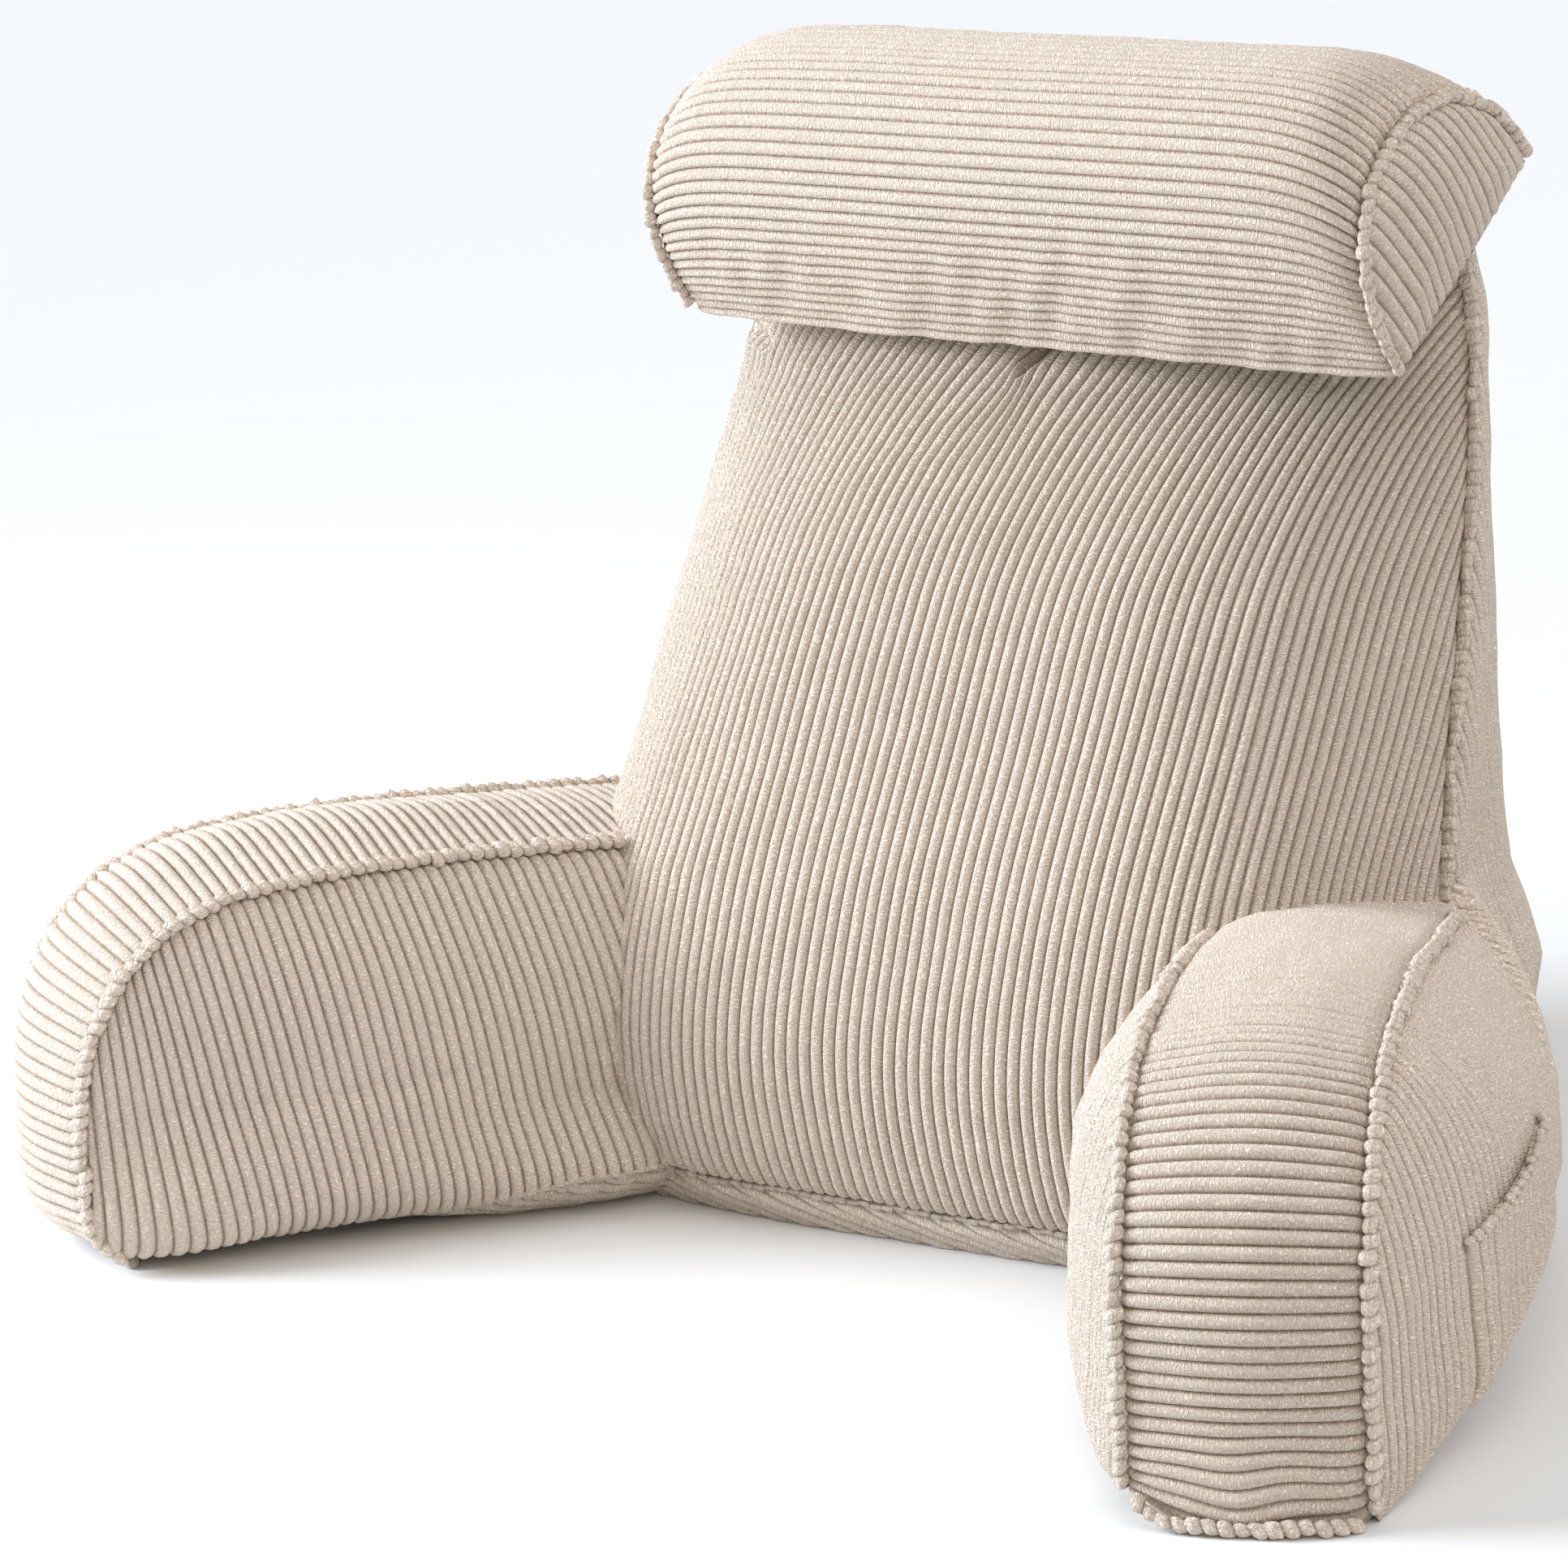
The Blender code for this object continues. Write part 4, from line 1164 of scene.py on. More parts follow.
def arm_strip(cloth, side):
    """The strip over the arm's top and front, and on under the arm. Its ribs run across."""
    outline = arm_top_and_front(side, 400)
    inside = outline[0] + np.linspace(1.0, 0.0, 12)[:-1, None] * np.array(STRIP_TUCK)
    floor = np.linspace(outline[-1, 0], ARM_REAR, 60)[1:]
    path = np.concatenate([inside, outline, np.stack([floor, np.zeros(len(floor))], -1)])
    reach = reach_along(path)
    seam_length = reach[len(inside) + len(outline) - 1]
    setback = arm_top_and_front(side, 400, 1.0)[:, 0] - outline[:, 0]
    rest = np.linspace(setback[-1], 0.0, len(floor))
    setback = np.concatenate([np.zeros(len(inside)), setback, rest])
    places = rib_places(0.0, reach[-1], cloth.pitch)
    across = run_places(ARM_WIDTH)

    def form(place, width):
        at = np.stack([np.interp(place, reach, path[:, k]) for k in (0, 1)], -1)
        ahead = np.stack([np.interp(place + 0.002, reach, path[:, k]) for k in (0, 1)], -1)
        behind = np.stack([np.interp(place - 0.002, reach, path[:, k]) for k in (0, 1)], -1)
        step = ahead - behind
        step /= np.maximum(np.linalg.norm(step, axis=-1, keepdims=True), 1e-9)
        out = np.stack([-step[..., 1], step[..., 0]], -1)
        share = np.clip(width / ARM_WIDTH, 0.0, 1.0)
        at = at + out * strip_crown(side, at, share)[..., None]
        back = np.interp(place, reach, setback) * share**2.5
        tucked = 1.0 - smooth_step(at[..., 0], ARM_OUTER_START - 0.035, ARM_OUTER_START - 0.010)
        narrow = 1.0 - STRIP_NARROWING * tucked
        return from_arm(side, at[..., 0] + back, width * narrow, at[..., 1])

    a, b = np.meshgrid(places, across)
    low = smooth_step(a, seam_length - 0.065, seam_length - 0.012)
    low = low * (1.0 - smooth_step(a, seam_length, seam_length + 0.01))
    inside = np.sin(math.pi * b / ARM_WIDTH)
    uneven = waves(np.stack([b, 0.4 * a], -1), 0.055, 31)
    settle = a + low * (LOW_RIB_WAVE * inside * uneven + LOW_RIB_SAG * (inside - 0.6))
    normals = outward_normals(form, settle, b, 0.0025, 0.002, from_arm(side, *ARM_INSIDE))
    edge = np.where(a < seam_length, np.minimum(b, ARM_WIDTH - b), 0.05)  # none under the arm
    cloth.panel(settled(side, form(settle, b)), normals, a, b, edge)


# ---------------------------------------------------------------- the neck roll


def roll_round(cloth):
    """The round panel of the roll. Its ribs run from end to end."""
    angles = np.linspace(0.0, math.pi, 400)
    reach = reach_along(roll_placed(np.zeros(len(angles)), roll_outline(angles)))
    across = rib_places(0.0, reach[-1], cloth.pitch)
    turns = np.interp(across, reach, angles)
    rows = run_places(2 * ROLL_HALF_LENGTH)
    x = rows - ROLL_HALF_LENGTH

    def form(angle, place):
        return roll_placed(place, roll_outline(angle))

    a, b = np.meshgrid(turns, x)
    inside = np.clip(a, 0.01, math.pi - 0.01)
    normals = outward_normals(form, inside, b, 0.01, 0.002, roll_placed(0.0, roll_axes()[0]))
    edge = np.broadcast_to((ROLL_HALF_LENGTH - np.abs(x))[:, None], a.shape)
    points = form(a, b)
    ripple = smooth_step(a, 2.35, 2.9) * smooth_step(ROLL_HALF_LENGTH - np.abs(b), 0.01, 0.05)
    slanted = np.stack([b + 0.5 * across, 0.25 * across * np.ones_like(b)], -1)
    lift = ROLL_RIPPLE * ripple * waves(slanted, 0.034, 91)
    gather = np.exp(-((ROLL_HALF_LENGTH - np.abs(b)) / 0.02)) * waves(points, 0.05, 92)
    cloth.panel(points, normals, across, rows[:, None], edge, lift=lift + ROLL_GATHER * gather)


def roll_flat(cloth):
    """The flat panel under the roll."""
    rear, front = np.array(ROLL_BACK_EDGE), np.array(ROLL_FRONT_EDGE)
    across = rib_places(0.0, float(np.linalg.norm(front - rear)), cloth.pitch * 1.25)
    shares = across / across[-1]
    x = np.linspace(-ROLL_HALF_LENGTH, ROLL_HALF_LENGTH, 50)

    def form(share, place):
        return roll_placed(place, rear + (front - rear) * share[..., None])

    a, b = np.meshgrid(shares, x)
    points = form(a, b)
    under = np.broadcast_to(-np.array((0.0, *roll_axes()[2])), points.shape)
    cloth.add(points, grid_faces(points, under), np.broadcast_to(across, a.shape), b)


def roll_end(cloth, side):
    """A leaf-shaped end panel. Its ribs stand across the flat side."""
    sign = 1.0 if side == "right" else -1.0
    outline = roll_outline(np.linspace(0.0, math.pi, 200))
    _, ahead, up = roll_axes()
    flat_side = outline[-1] + (outline[0] - outline[-1]) * np.linspace(0, 1, 80)[1:-1, None]
    belly = outline.mean(axis=0)
    ring = np.concatenate([outline, flat_side]) - belly
    ring = np.stack([ring @ ahead, ring @ up], -1)
    bearings = np.arctan2(ring[:, 1], ring[:, 0])
    order = np.argsort(bearings)
    lengths = np.linalg.norm(ring, axis=1)
    lean = math.radians(END_RIB_LEAN)
    across = ring @ (math.cos(lean), math.sin(lean))
    along = ring @ (-math.sin(lean), math.cos(lean))
    columns = rib_places(
        across.min() / END_RIB_STRETCH, across.max() / END_RIB_STRETCH, cloth.pitch
    )
    rows = np.linspace(along.min(), along.max(), 44)
    u, v = np.meshgrid(columns * END_RIB_STRETCH, rows)
    a = u * math.cos(lean) - v * math.sin(lean)
    b = u * math.sin(lean) + v * math.cos(lean)
    distance = np.maximum(np.hypot(a, b), 1e-6)
    reach = np.interp(np.arctan2(b, a), bearings[order], lengths[order], period=2 * math.pi)
    share = distance / reach
    dead = share > 1.0 + 1e-6
    shrink = np.where(dead, 1.0 / share, 1.0)
    share = np.minimum(share, 1.0)
    section = belly + (a * shrink)[..., None] * ahead + (b * shrink)[..., None] * up
    bulge = ROLL_END_BULGE * (1.0 - share**2)
    flat = np.concatenate([(sign * (ROLL_HALF_LENGTH + bulge))[..., None], section], -1)
    points = turned_with_roll(flat)
    normal = turned_with_roll(np.array((sign, 0.0, 0.0))) - turned_with_roll(np.zeros(3))
    normals = np.broadcast_to(normal, points.shape)
    edge = (1.0 - share) * reach
    cloth.panel(points, normals, columns, rows[:, None], edge, dead=dead)


# ---------------------------------------------------------------- gathered seams


BEAD_STEPS = (0.0, 0.10, 0.28, 0.5, 0.72, 0.90)
BEAD_NOTCH = 0.34  # each bead has two lobes, with a dip this deep between them
BEAD_SIDES = 14
BEAD_SIZES = (0.84, 1.14)  # the smallest and the largest
BEAD_SHIFT = 0.00045
BEAD_SQUARENESS = 0.85  # below 1 a bead's section is squarer than an ellipse
BEAD_LUMPS = (0.09, 0.007)  # how uneven a bead is, and over what length

ARM_SEAM_LEAN = 52.0  # degrees that an arm's seam stands up from its faces' direction
BACK_SEAM_OUT = {"right": (0.86, -0.42, 0.28), "left": (0.62, 0.76, 0.20)}  # (outwards, y, z)
BACK_SEAM_WAVE = (0.14, 0.315, 0.0)
BACK_SEAM_TOP = 0.455
FOOT_SEAM_HEIGHT = 0.0040

# Each seam's width along the cloth, its height, the share of them left between two beads, how far
# it stands off its path, and how much its beads slant.
FINE_SEAM = {"width": 0.0030, "height": 0.0030, "neck": 0.7, "rise": 0.0006, "twist": 0.0}
ARM_SEAM = {"width": 0.0078, "height": 0.0082, "neck": 0.56, "rise": 0.0022, "twist": 0.25}
FOOT_SEAM = {"width": 0.0074, "height": 0.0074, "neck": 0.62, "rise": 0.001, "twist": 0.25}
BACK_SEAM = {"width": 0.0048, "height": 0.0096, "neck": 0.8, "rise": 0.0, "twist": 0.0}
ROLL_SEAM = {"width": 0.0070, "height": 0.0078, "neck": 0.66, "rise": 0.002, "twist": 0.3}
POCKET_SEAM = {"width": 0.0050, "height": 0.0050, "neck": 0.6, "rise": 0.001, "twist": 0.0}


def gathered_seam(name, path, out, settings, sizes, seed):
    """A turned-out seam that swells over every rib: a cord of beads along `path`.

    `out` points away from the cloth at each point.
    """
    width, height, neck = sizes["width"], sizes["height"], sizes["neck"]
    chance = np.random.default_rng(seed)
    reach = reach_along(path)
    beads = max(int(round(reach[-1] / settings.rib_pitch)), 2)
    pitch = reach[-1] / beads
    phases = np.array([bead + step for bead in range(beads) for step in BEAD_STEPS] + [beads])
    centre = read_along(path, phases * pitch)
    outward = read_along(out, phases * pitch, reach)
    ahead = np.gradient(centre, axis=0)
    ahead /= np.linalg.norm(ahead, axis=1)[:, None]
    outward -= np.sum(outward * ahead, axis=1)[:, None] * ahead
    outward /= np.linalg.norm(outward, axis=1)[:, None]
    sideways = np.cross(ahead, outward)
    bead_index = np.minimum(phases.astype(int), beads - 1)
    swell = neck + (1 - neck) * np.abs(np.sin(math.pi * phases)) ** 0.6
    size = chance.uniform(*BEAD_SIZES, beads)[bead_index]
    shift = chance.normal(0.0, BEAD_SHIFT, (beads, 2))[bead_index]
    sides = BEAD_SIDES
    turns = np.linspace(0.0, 2 * math.pi, sides, endpoint=False)
    round_x = np.sign(np.cos(turns)) * np.abs(np.cos(turns)) ** BEAD_SQUARENESS
    round_y = np.sign(np.sin(turns)) * np.abs(np.sin(turns)) ** BEAD_SQUARENESS
    grow = (swell * size)[:, None]
    w = grow * round_x * width / 2 + shift[:, :1]
    notch = 1.0 - BEAD_NOTCH * np.exp(-((round_x / 0.3) ** 2)) * (round_y > 0)
    h = grow * round_y * notch * height / 2 + shift[:, 1:] + sizes["rise"]
    slant = sizes["twist"] * (round_x + 0.5 * round_y) * width / 2
    points = (
        centre[:, None, :]
        + w[..., None] * sideways[:, None, :]
        + h[..., None] * outward[:, None, :]
        + slant[..., None] * ahead[:, None, :]
    )
    lumps = 1.0 + BEAD_LUMPS[0] * waves(points, BEAD_LUMPS[1], seed)
    points = centre[:, None, :] + (points - centre[:, None, :]) * lumps[..., None]
    rings = len(centre)
    index = np.arange(rings * sides).reshape(rings, sides)
    after = np.roll(index, -1, axis=1)
    faces = np.stack([index[:-1], after[:-1], after[1:], index[1:]], -1).reshape(-1, 4)
    caps = []
    for ring, order in ((0, 1), (rings - 1, -1)):
        corner = index[ring]
        for k in range(1, sides // 2):
            quad = [corner[k - 1], corner[k], corner[sides - 1 - k], corner[(sides - k) % sides]]
            caps.append(quad[::-1] if order > 0 else quad)
    faces = np.concatenate([faces, np.array(caps)])
    places = np.broadcast_arrays(phases[:, None], turns / math.pi)
    places = np.stack(places, -1).reshape(-1, 2)
    return mesh_object(name, points.reshape(-1, 3), faces, places, cloth_materials(settings)[1])


def arm_seam_path(side, edge, pitch, count=240):
    """An arm's seam and its outward directions, cut to whole ribs of the strip."""
    path = arm_top_and_front(side, 600, float(edge == "outer"))
    first = ARM_OUTER_START if edge == "outer" else -0.012
    tuck = float(np.hypot(*STRIP_TUCK))
    reach = tuck + reach_along(arm_top_and_front(side, 600))
    here = reach[(path[:, 0] > first) & (path[:, 1] > 0.004)]
    start, end = math.ceil(here[0] / pitch) * pitch, math.floor(here[-1] / pitch) * pitch
    path = read_along(path, np.linspace(start, end, count), reach)
    ahead = np.gradient(path, axis=0)
    out = np.stack([-ahead[:, 1], ahead[:, 0]], 1)
    out /= np.linalg.norm(out, axis=1)[:, None]
    sideways = -1.0 if edge == "inner" else 1.0
    across = 0.0 if edge == "inner" else ARM_WIDTH
    lean = math.radians(ARM_SEAM_LEAN)
    points = from_arm(side, path[:, 0], across, path[:, 1])
    zero = from_arm(side, 0.0, 0.0, 0.0)
    direction = from_arm(
        side, math.sin(lean) * out[:, 0], sideways * math.cos(lean), math.sin(lean) * out[:, 1]
    )
    return settled(side, points), direction - zero


def back_seam_path(side, count=160):
    """The raised seam at one side of the backrest, from the arm to under the roll."""
    sign = 1.0 if side == "right" else -1.0
    times = np.linspace(0.0, 1.0, 400)
    ridge = front_form(np.full(len(times), sign), times)
    low = ARM_OUTER_HEIGHT - ARM_REAR_DROP[side]
    ridge = ridge[(ridge[:, 2] > low + 0.002) & (ridge[:, 2] < BACK_SEAM_TOP)]
    ridge = read_along(ridge, np.linspace(0.0, reach_along(ridge)[-1], count))
    mirror = np.array((sign, 1.0, 1.0))
    wave = np.sin(np.linspace(0.0, 22.0, count))[:, None] * np.array(BACK_SEAM_WAVE)
    return ridge, (np.array(BACK_SEAM_OUT[side]) + wave) * mirror


def roll_seam_path(side, count=200):
    """The seam round the arc of one end of the roll."""
    sign = 1.0 if side == "right" else -1.0
    outline = roll_outline(np.linspace(0.02, math.pi - 0.02, count))
    outline = read_along(outline, np.linspace(0.0, reach_along(outline)[-1], count))
    ahead = np.gradient(outline, axis=0)
    out = np.stack([ahead[:, 1], -ahead[:, 0]], 1)
    out /= np.linalg.norm(out, axis=1)[:, None]
    belly = outline.mean(axis=0)
    if np.sum((outline[count // 2] - belly) * out[count // 2]) < 0:
        out = -out
    x = np.full((count, 1), sign * ROLL_HALF_LENGTH)
    points = turned_with_roll(np.concatenate([x, outline], 1))
    tips = turned_with_roll(np.concatenate([x + sign * 0.62, outline + 0.78 * out], 1))
    return points, tips - points


def foot_seam_path(side, count=40):
    """The seam across an arm's front at the floor, where the solid has its own."""
    low, high = (np.array(corner) - np.array(SEAT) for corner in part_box(f"seam_foot_{side}"))
    along = to_arm(side, (low + high) / 2)[0] - FOOT_SEAM_TUCK[side]
    across = np.linspace(0.004, ARM_WIDTH - 0.004, count)
    inside = np.sin(math.pi * across / ARM_WIDTH)
    bow = FOOT_BOW[side] * inside**0.5
    corner = (1.0 - inside) ** 3 * (across < ARM_WIDTH / 2)
    height = FOOT_SEAM_HEIGHT + (CORNER_LIFT if side == "right" else 0.0) * corner
    points = from_arm(side, along + bow, across, height)
    return points, from_arm(side, along + bow + 0.9, across, 0.1) - points


def front_foot_path(count=120):
    """The fine seam between the front panel and the strip under it."""
    shares = np.linspace(-0.93, 0.93, count)
    times = np.full(count, front_time(FRONT_FOOT_HEIGHT))
    normals = back_normals(front_form, shares, times)
    return front_form(shares, times), normals


# ---------------------------------------------------------------- the pocket


def pocket_patch(cloth, table):
    """The patch on the right arm's outer face: upright ribs, and its mouth stands off a little."""
    form = side_form("right", table)
    rear, front = POCKET_ALONG
    level = np.linspace(rear, front, 60)
    reach = reach_along(form(level, np.full(len(level), 0.06)))
    across = rib_places(0.0, reach[-1], cloth.pitch)
    columns = np.interp(across, reach, level)
    rows = run_places(POCKET_MOUTH_HEIGHTS[1] - POCKET_BOTTOM)
    rows = rows / rows[-1]
    mouth = np.interp(columns, POCKET_ALONG, POCKET_MOUTH_HEIGHTS)
    heights = POCKET_BOTTOM + (mouth - POCKET_BOTTOM) * rows[:, None]
    along = np.broadcast_to(columns, heights.shape)
    points = form(along, heights)
    normals = arm_normals("right", form, along, heights)
    sides = np.minimum(along - rear, front - along)
    edge = np.minimum(sides, heights - POCKET_BOTTOM)
    lift = POCKET_LIFT + POCKET_FULLNESS * smooth_step(edge, 0.0, 0.012)
    lift = lift + POCKET_OPENING * rows[:, None] ** 3 * smooth_step(sides, 0.0, 0.05)
    front_side = cloth.panel(points, normals, across, heights, edge, lift=lift)
    back_side = points + normals * (lift - POCKET_THICKNESS)[..., None]
    cloth.add(back_side, grid_faces(back_side, -normals), across, heights)
    close_border(cloth, front_side, back_side, across, heights)
    mouth_points = points[-1] + normals[-1] * (lift[-1] + 0.0006)[:, None]
    return mouth_points, normals[-1] * 0.6 + np.array((0.0, 0.0, 0.8))


def close_border(cloth, front_side, back_side, across, along):
    """The cut edge of a sheet, from its front to its back all the way round."""
    rows, columns = front_side.shape[:2]
    index = np.arange(rows * columns).reshape(rows, columns)
    ring = np.concatenate([index[0, :-1], index[:-1, -1], index[-1, :0:-1], index[:0:-1, 0]])
    points = np.concatenate([front_side.reshape(-1, 3)[ring], back_side.reshape(-1, 3)[ring]])
    place = np.stack(np.broadcast_arrays(across, along), -1).reshape(-1, 2)[ring]
    place = np.concatenate([place, place])
    here = np.arange(len(ring))
    after = np.roll(here, -1)
    faces = np.stack([after, here, here + len(ring), after + len(ring)], -1)
    cloth.add(points, faces, place[:, 0], place[:, 1])


# ---------------------------------------------------------------- settings


class PillowCloth(bpy.types.PropertyGroup):
    """The cloth's sizes and colours."""

    rib_pitch: FloatProperty(
        name="Rib pitch", description="From one rib to the next", default=0.007,
        min=0.003, max=0.02, unit="LENGTH", precision=4,
    )
    rib_depth: FloatProperty(
        name="Rib depth", description="Height of the pile over the grooves", default=0.0033,
        min=0.0, max=0.006, unit="LENGTH", precision=4,
    )
    crest_colour: FloatVectorProperty(
        name="Rib colour", description="Pile on the crest of a rib", default=(0.86, 0.735, 0.625),
        subtype="COLOR", min=0.0, max=1.0,
    )
    # painted shade: a darker colour laid into the grooves for the shade that falls there, not a
    # different ground cloth
    groove_shade_colour: FloatVectorProperty(
        name="Painted groove shade", description="Shade painted darker into the grooves",
        default=(0.52, 0.42, 0.335), subtype="COLOR", min=0.0, max=1.0,
    )
    sheen: FloatProperty(
        name="Sheen", description="Soft shine of the pile at grazing angles", default=0.12,
        min=0.0, max=1.0, subtype="FACTOR",
    )


class PillowStage(bpy.types.PropertyGroup):
    """The floor and the lights."""

    floor_colour: FloatVectorProperty(
        name="Floor", description="Colour of the plain floor", default=(0.81, 0.81, 0.808),
        subtype="COLOR", min=0.0, max=1.0,
    )
    key_power: FloatProperty(
        name="Key light", description="Strength of the low light on the left", default=3.1,
        min=0.0,
    )
    near_power: FloatProperty(
        name="Near light", description="Power of the soft box near the left arm", default=12.8,
        min=0.0, unit="POWER",
    )
    fill_power: FloatProperty(
        name="Fill light", description="Strength of the soft light behind on the right",
        default=1.3, min=0.0,
    )
    front_power: FloatProperty(
        name="Front light", description="Strength of the soft light at the camera's side",
        default=0.95, min=0.0,
    )
    top_power: FloatProperty(
        name="Top light", description="Strength of the soft light overhead", default=0.85,
        min=0.0,
    )
    sky_strength: FloatProperty(
        name="Sky", description="Strength of the even light all round", default=0.1, min=0.0,
    )


# ---------------------------------------------------------------- operators


class PILLOW_OT_backrest(bpy.types.Operator):
    """Lay the front, foot, back and hidden panels on the backrest"""

    bl_idname = "pillow.backrest"
    bl_label = "Backrest"

    def execute(self, context):
        settings = context.scene.pillow_cloth
        cloth = Cloth("backrest_cover", settings)
        front_panel(cloth)
        foot_strip(cloth)
        back_panel(cloth)
        under_cloth(cloth)
        back_lids(cloth)
        thing = cloth.object(cloth_materials(settings)[0])
        finish_piece(thing, ["backrest"])
        return {"FINISHED"}


class PILLOW_OT_arms(bpy.types.Operator):
    """Cover each arm: outer panel with the backrest's side, inner panel and strip"""

    bl_idname = "pillow.arms"
    bl_label = "Arms"

    def execute(self, context):
        settings = context.scene.pillow_cloth
        for side in ARMS:
            cloth = Cloth(f"arm_cover_{side}", settings)
            side_panel(cloth, side, back_side_table(side))
            inner_panel(cloth, side)
            if side == "left":
                arm_foot_strip(cloth, side)
            arm_strip(cloth, side)
            thing = cloth.object(cloth_materials(settings)[0])
            finish_piece(thing, [f"arm_{side}"])
        return {"FINISHED"}


class PILLOW_OT_neck_roll(bpy.types.Operator):
    """Make the half-round neck roll with its leaf-shaped ends"""

    bl_idname = "pillow.neck_roll"
    bl_label = "Neck roll"

    def execute(self, context):
        settings = context.scene.pillow_cloth
        cloth = Cloth("neck_roll_cover", settings)
        roll_round(cloth)
        roll_flat(cloth)
        for side in ARMS:
            roll_end(cloth, side)
        thing = cloth.object(cloth_materials(settings)[0])
        finish_piece(thing, ["neck_roll"])
        return {"FINISHED"}


class PILLOW_OT_seams(bpy.types.Operator):
    """Gather the turned-out seams of the arms, the backrest and the roll"""

    bl_idname = "pillow.seams"
    bl_label = "Gathered seams"

    def execute(self, context):
        settings = context.scene.pillow_cloth

        def gather(name, run, sizes, seed, nodes, rise=None):
            path, out = run
            rise = sizes["rise"] if rise is None else rise
            thing = gathered_seam(name, path, out, settings, {**sizes, "rise": rise}, seed)
            finish_piece(thing, nodes)

        seed = 10
        gather("front_foot_seam", front_foot_path(), FINE_SEAM, seed, [])
        gather("arm_foot_seam", arm_foot_path("left"), FINE_SEAM, seed, [], rise=0.0004)
        for side in ARMS:
            for edge in ("inner", "outer"):
                seed += 1
                run = arm_seam_path(side, edge, settings.rib_pitch)
                nodes = [f"seam_arm_{side}_{edge}"]
                gather(f"gathered_arm_{side}_{edge}", run, ARM_SEAM, seed, nodes)
            run, nodes = foot_seam_path(side), [f"seam_foot_{side}"]
            gather(f"gathered_foot_{side}", run, FOOT_SEAM, seed + 60, nodes)
            run, nodes = back_seam_path(side), [f"seam_back_{side}"]
            rise = BACK_SEAM_RISE[side]
            gather(f"raised_back_{side}", run, BACK_SEAM, seed + 20, nodes, rise)
            run, nodes = roll_seam_path(side), [f"seam_roll_{side}"]
            gather(f"gathered_roll_{side}", run, ROLL_SEAM, seed + 40, nodes)
        return {"FINISHED"}


class PILLOW_OT_pocket(bpy.types.Operator):
    """Sew the patch pocket on the right arm's outer face and bind its mouth"""

    bl_idname = "pillow.pocket"
    bl_label = "Pocket"

    def execute(self, context):
        settings = context.scene.pillow_cloth
        cloth = Cloth("pocket_patch", settings)
        mouth, out = pocket_patch(cloth, back_side_table("right"))
        patch = cloth.object(cloth_materials(settings)[0])
        weld(patch)
        finish_piece(patch, ["pocket"])
        binding = gathered_seam("pocket_mouth_binding", mouth, out, settings, POCKET_SEAM, 77)
        finish_piece(binding, ["pocket_binding"])
        return {"FINISHED"}


class PILLOW_OT_stage(bpy.types.Operator):
    """Set the floor, the lights and the camera"""

    bl_idname = "pillow.stage"
    bl_label = "Stage"

    def execute(self, context):
        settings = context.scene.pillow_stage
        make_floor(settings)
        make_lights(context.scene, settings)
        make_camera(context.scene)
        return {"FINISHED"}


def make_floor(settings):
    mesh = bpy.data.meshes.new("floor")
    ends = (-FLOOR_HALF, FLOOR_HALF)
    corners = [(ends[i], ends[j], 0.0) for i, j in ((0, 0), (1, 0), (1, 1), (0, 1))]
    mesh.from_pydata(corners, [], [(0, 1, 2, 3)])
    floor = bpy.data.objects.new("floor", mesh)
    shader = Shader("pale_floor")
    shader.principled.inputs["Base Color"].default_value = (*settings.floor_colour, 1.0)
    shader.principled.inputs["Roughness"].default_value = 0.8
    shader.principled.inputs["Specular IOR Level"].default_value = 0.1
    mesh.materials.append(shader.material)
    bpy.context.scene.collection.objects.link(floor)


def make_lights(scene, settings):
    world = bpy.data.worlds.new("even_sky")
    world.use_nodes = True
    sky = world.node_tree.nodes["Background"]
    sky.inputs["Color"].default_value = (1.0, 1.0, 1.0, 1.0)
    sky.inputs["Strength"].default_value = settings.sky_strength
    scene.world = world
    for name, (towards, width, colour) in FAR_LIGHTS.items():
        light = soft_light(name, "SUN", towards, getattr(settings, f"{name}_power"), colour)
        light.data.angle = math.radians(width)
    near = soft_light("near", "AREA", NEAR_TOWARDS, settings.near_power, (0.96, 1.0, 1.05))
    near.data.shape = "DISK"
    near.data.size = NEAR_SIZE
    near.location = Vector(SEAT) + Vector(NEAR_PLACE)


def soft_light(name, kind, towards, power, colour):
    """A light that shines from the direction `towards`."""
    data = bpy.data.lights.new(name, kind)
    data.energy = power
    data.color = colour
    light = bpy.data.objects.new(name, data)
    light.rotation_euler = Vector(towards).to_track_quat("Z", "Y").to_euler()
    bpy.context.scene.collection.objects.link(light)
    return light


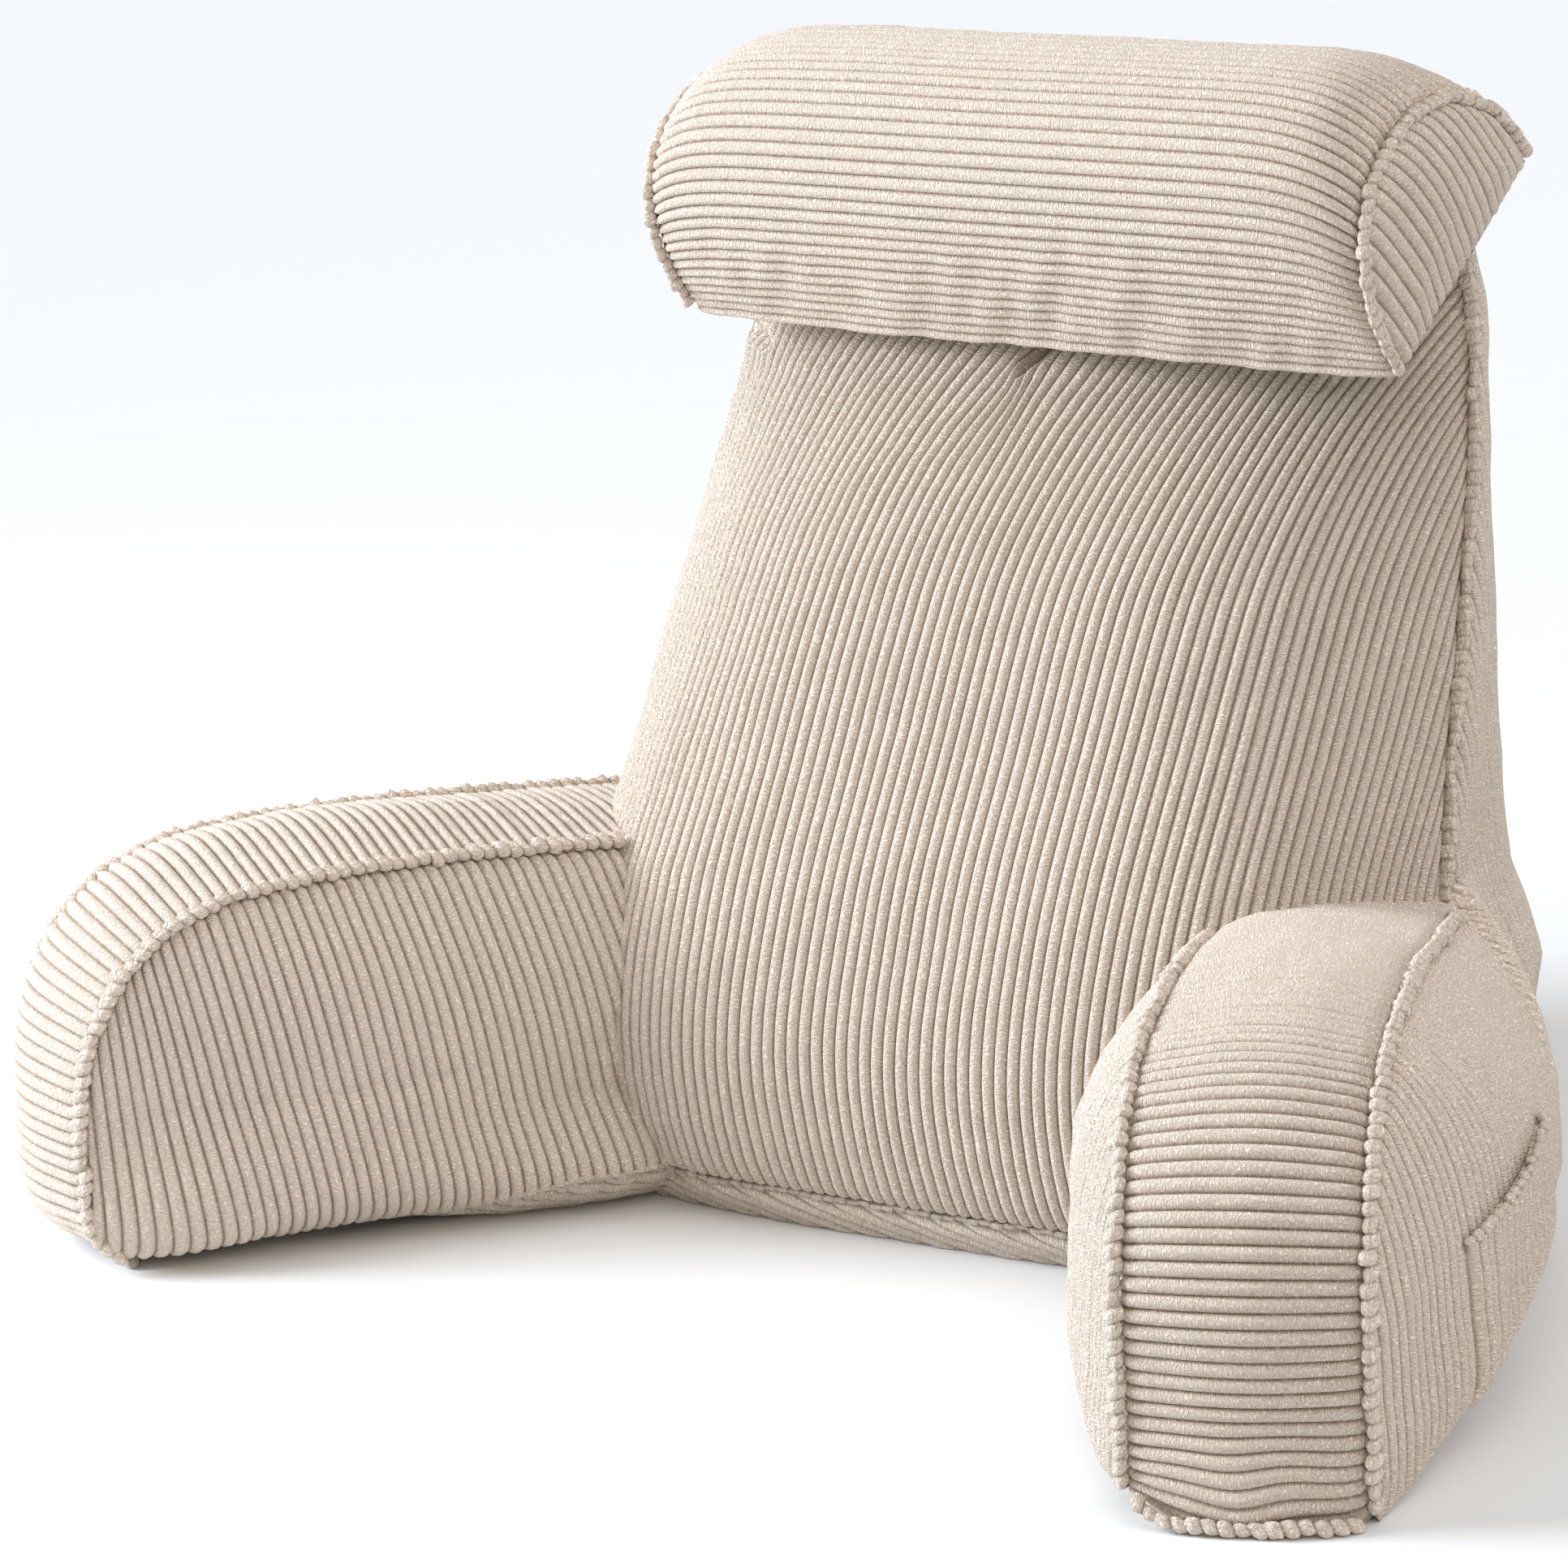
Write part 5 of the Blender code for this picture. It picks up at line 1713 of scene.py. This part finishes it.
def make_camera(scene):
    azimuth, elevation, roll = (math.radians(angle) for angle in CAMERA_TURN)
    back = Vector(
        (
            math.sin(azimuth) * math.cos(elevation),
            -math.cos(azimuth) * math.cos(elevation),
            math.sin(elevation),
        )
    )
    right = Vector((math.cos(azimuth), math.sin(azimuth), 0.0))
    up = back.cross(right)
    rolled_right = right * math.cos(roll) + up * math.sin(roll)
    rolled_up = up * math.cos(roll) - right * math.sin(roll)
    matrix = Matrix((rolled_right, rolled_up, back)).transposed().to_4x4()
    matrix.translation = Vector(SEAT) + Vector(CAMERA_PLACE)
    data = bpy.data.cameras.new("photo_camera")
    data.lens = CAMERA_LENS
    data.sensor_width = 36.0
    data.clip_end = 60.0
    camera = bpy.data.objects.new("photo_camera", data)
    camera.matrix_world = matrix
    scene.collection.objects.link(camera)
    scene.camera = camera
    scene.view_settings.view_transform = "Standard"


class PILLOW_PT_pieces(bpy.types.Panel):
    """The pillow's pieces, its cloth and its stage"""

    bl_label = "Reading pillow"
    bl_idname = "PILLOW_PT_pieces"
    bl_space_type = "VIEW_3D"
    bl_region_type = "UI"
    bl_category = "Pillow"

    def draw(self, context):
        layout = self.layout
        for operator in PIECE_OPERATORS:
            layout.operator(operator.bl_idname)
        for group in (context.scene.pillow_cloth, context.scene.pillow_stage):
            for name in group.bl_rna.properties.keys():
                if name not in ("rna_type", "name"):
                    layout.prop(group, name)


PIECE_OPERATORS = (
    PILLOW_OT_backrest,
    PILLOW_OT_arms,
    PILLOW_OT_neck_roll,
    PILLOW_OT_seams,
    PILLOW_OT_pocket,
    PILLOW_OT_stage,
)
CLASSES = (PillowCloth, PillowStage, *PIECE_OPERATORS, PILLOW_PT_pieces)


def register():
    for kind in CLASSES:
        bpy.utils.register_class(kind)
    bpy.types.Scene.pillow_cloth = PointerProperty(type=PillowCloth)
    bpy.types.Scene.pillow_stage = PointerProperty(type=PillowStage)


def unregister():
    del bpy.types.Scene.pillow_stage
    del bpy.types.Scene.pillow_cloth
    for kind in reversed(CLASSES):
        bpy.utils.unregister_class(kind)


def main():
    register()
    bpy.ops.pillow.backrest()
    bpy.ops.pillow.arms()
    bpy.ops.pillow.neck_roll()
    bpy.ops.pillow.seams()
    bpy.ops.pillow.pocket()
    bpy.ops.pillow.stage()


if __name__ == "__main__":
    main()
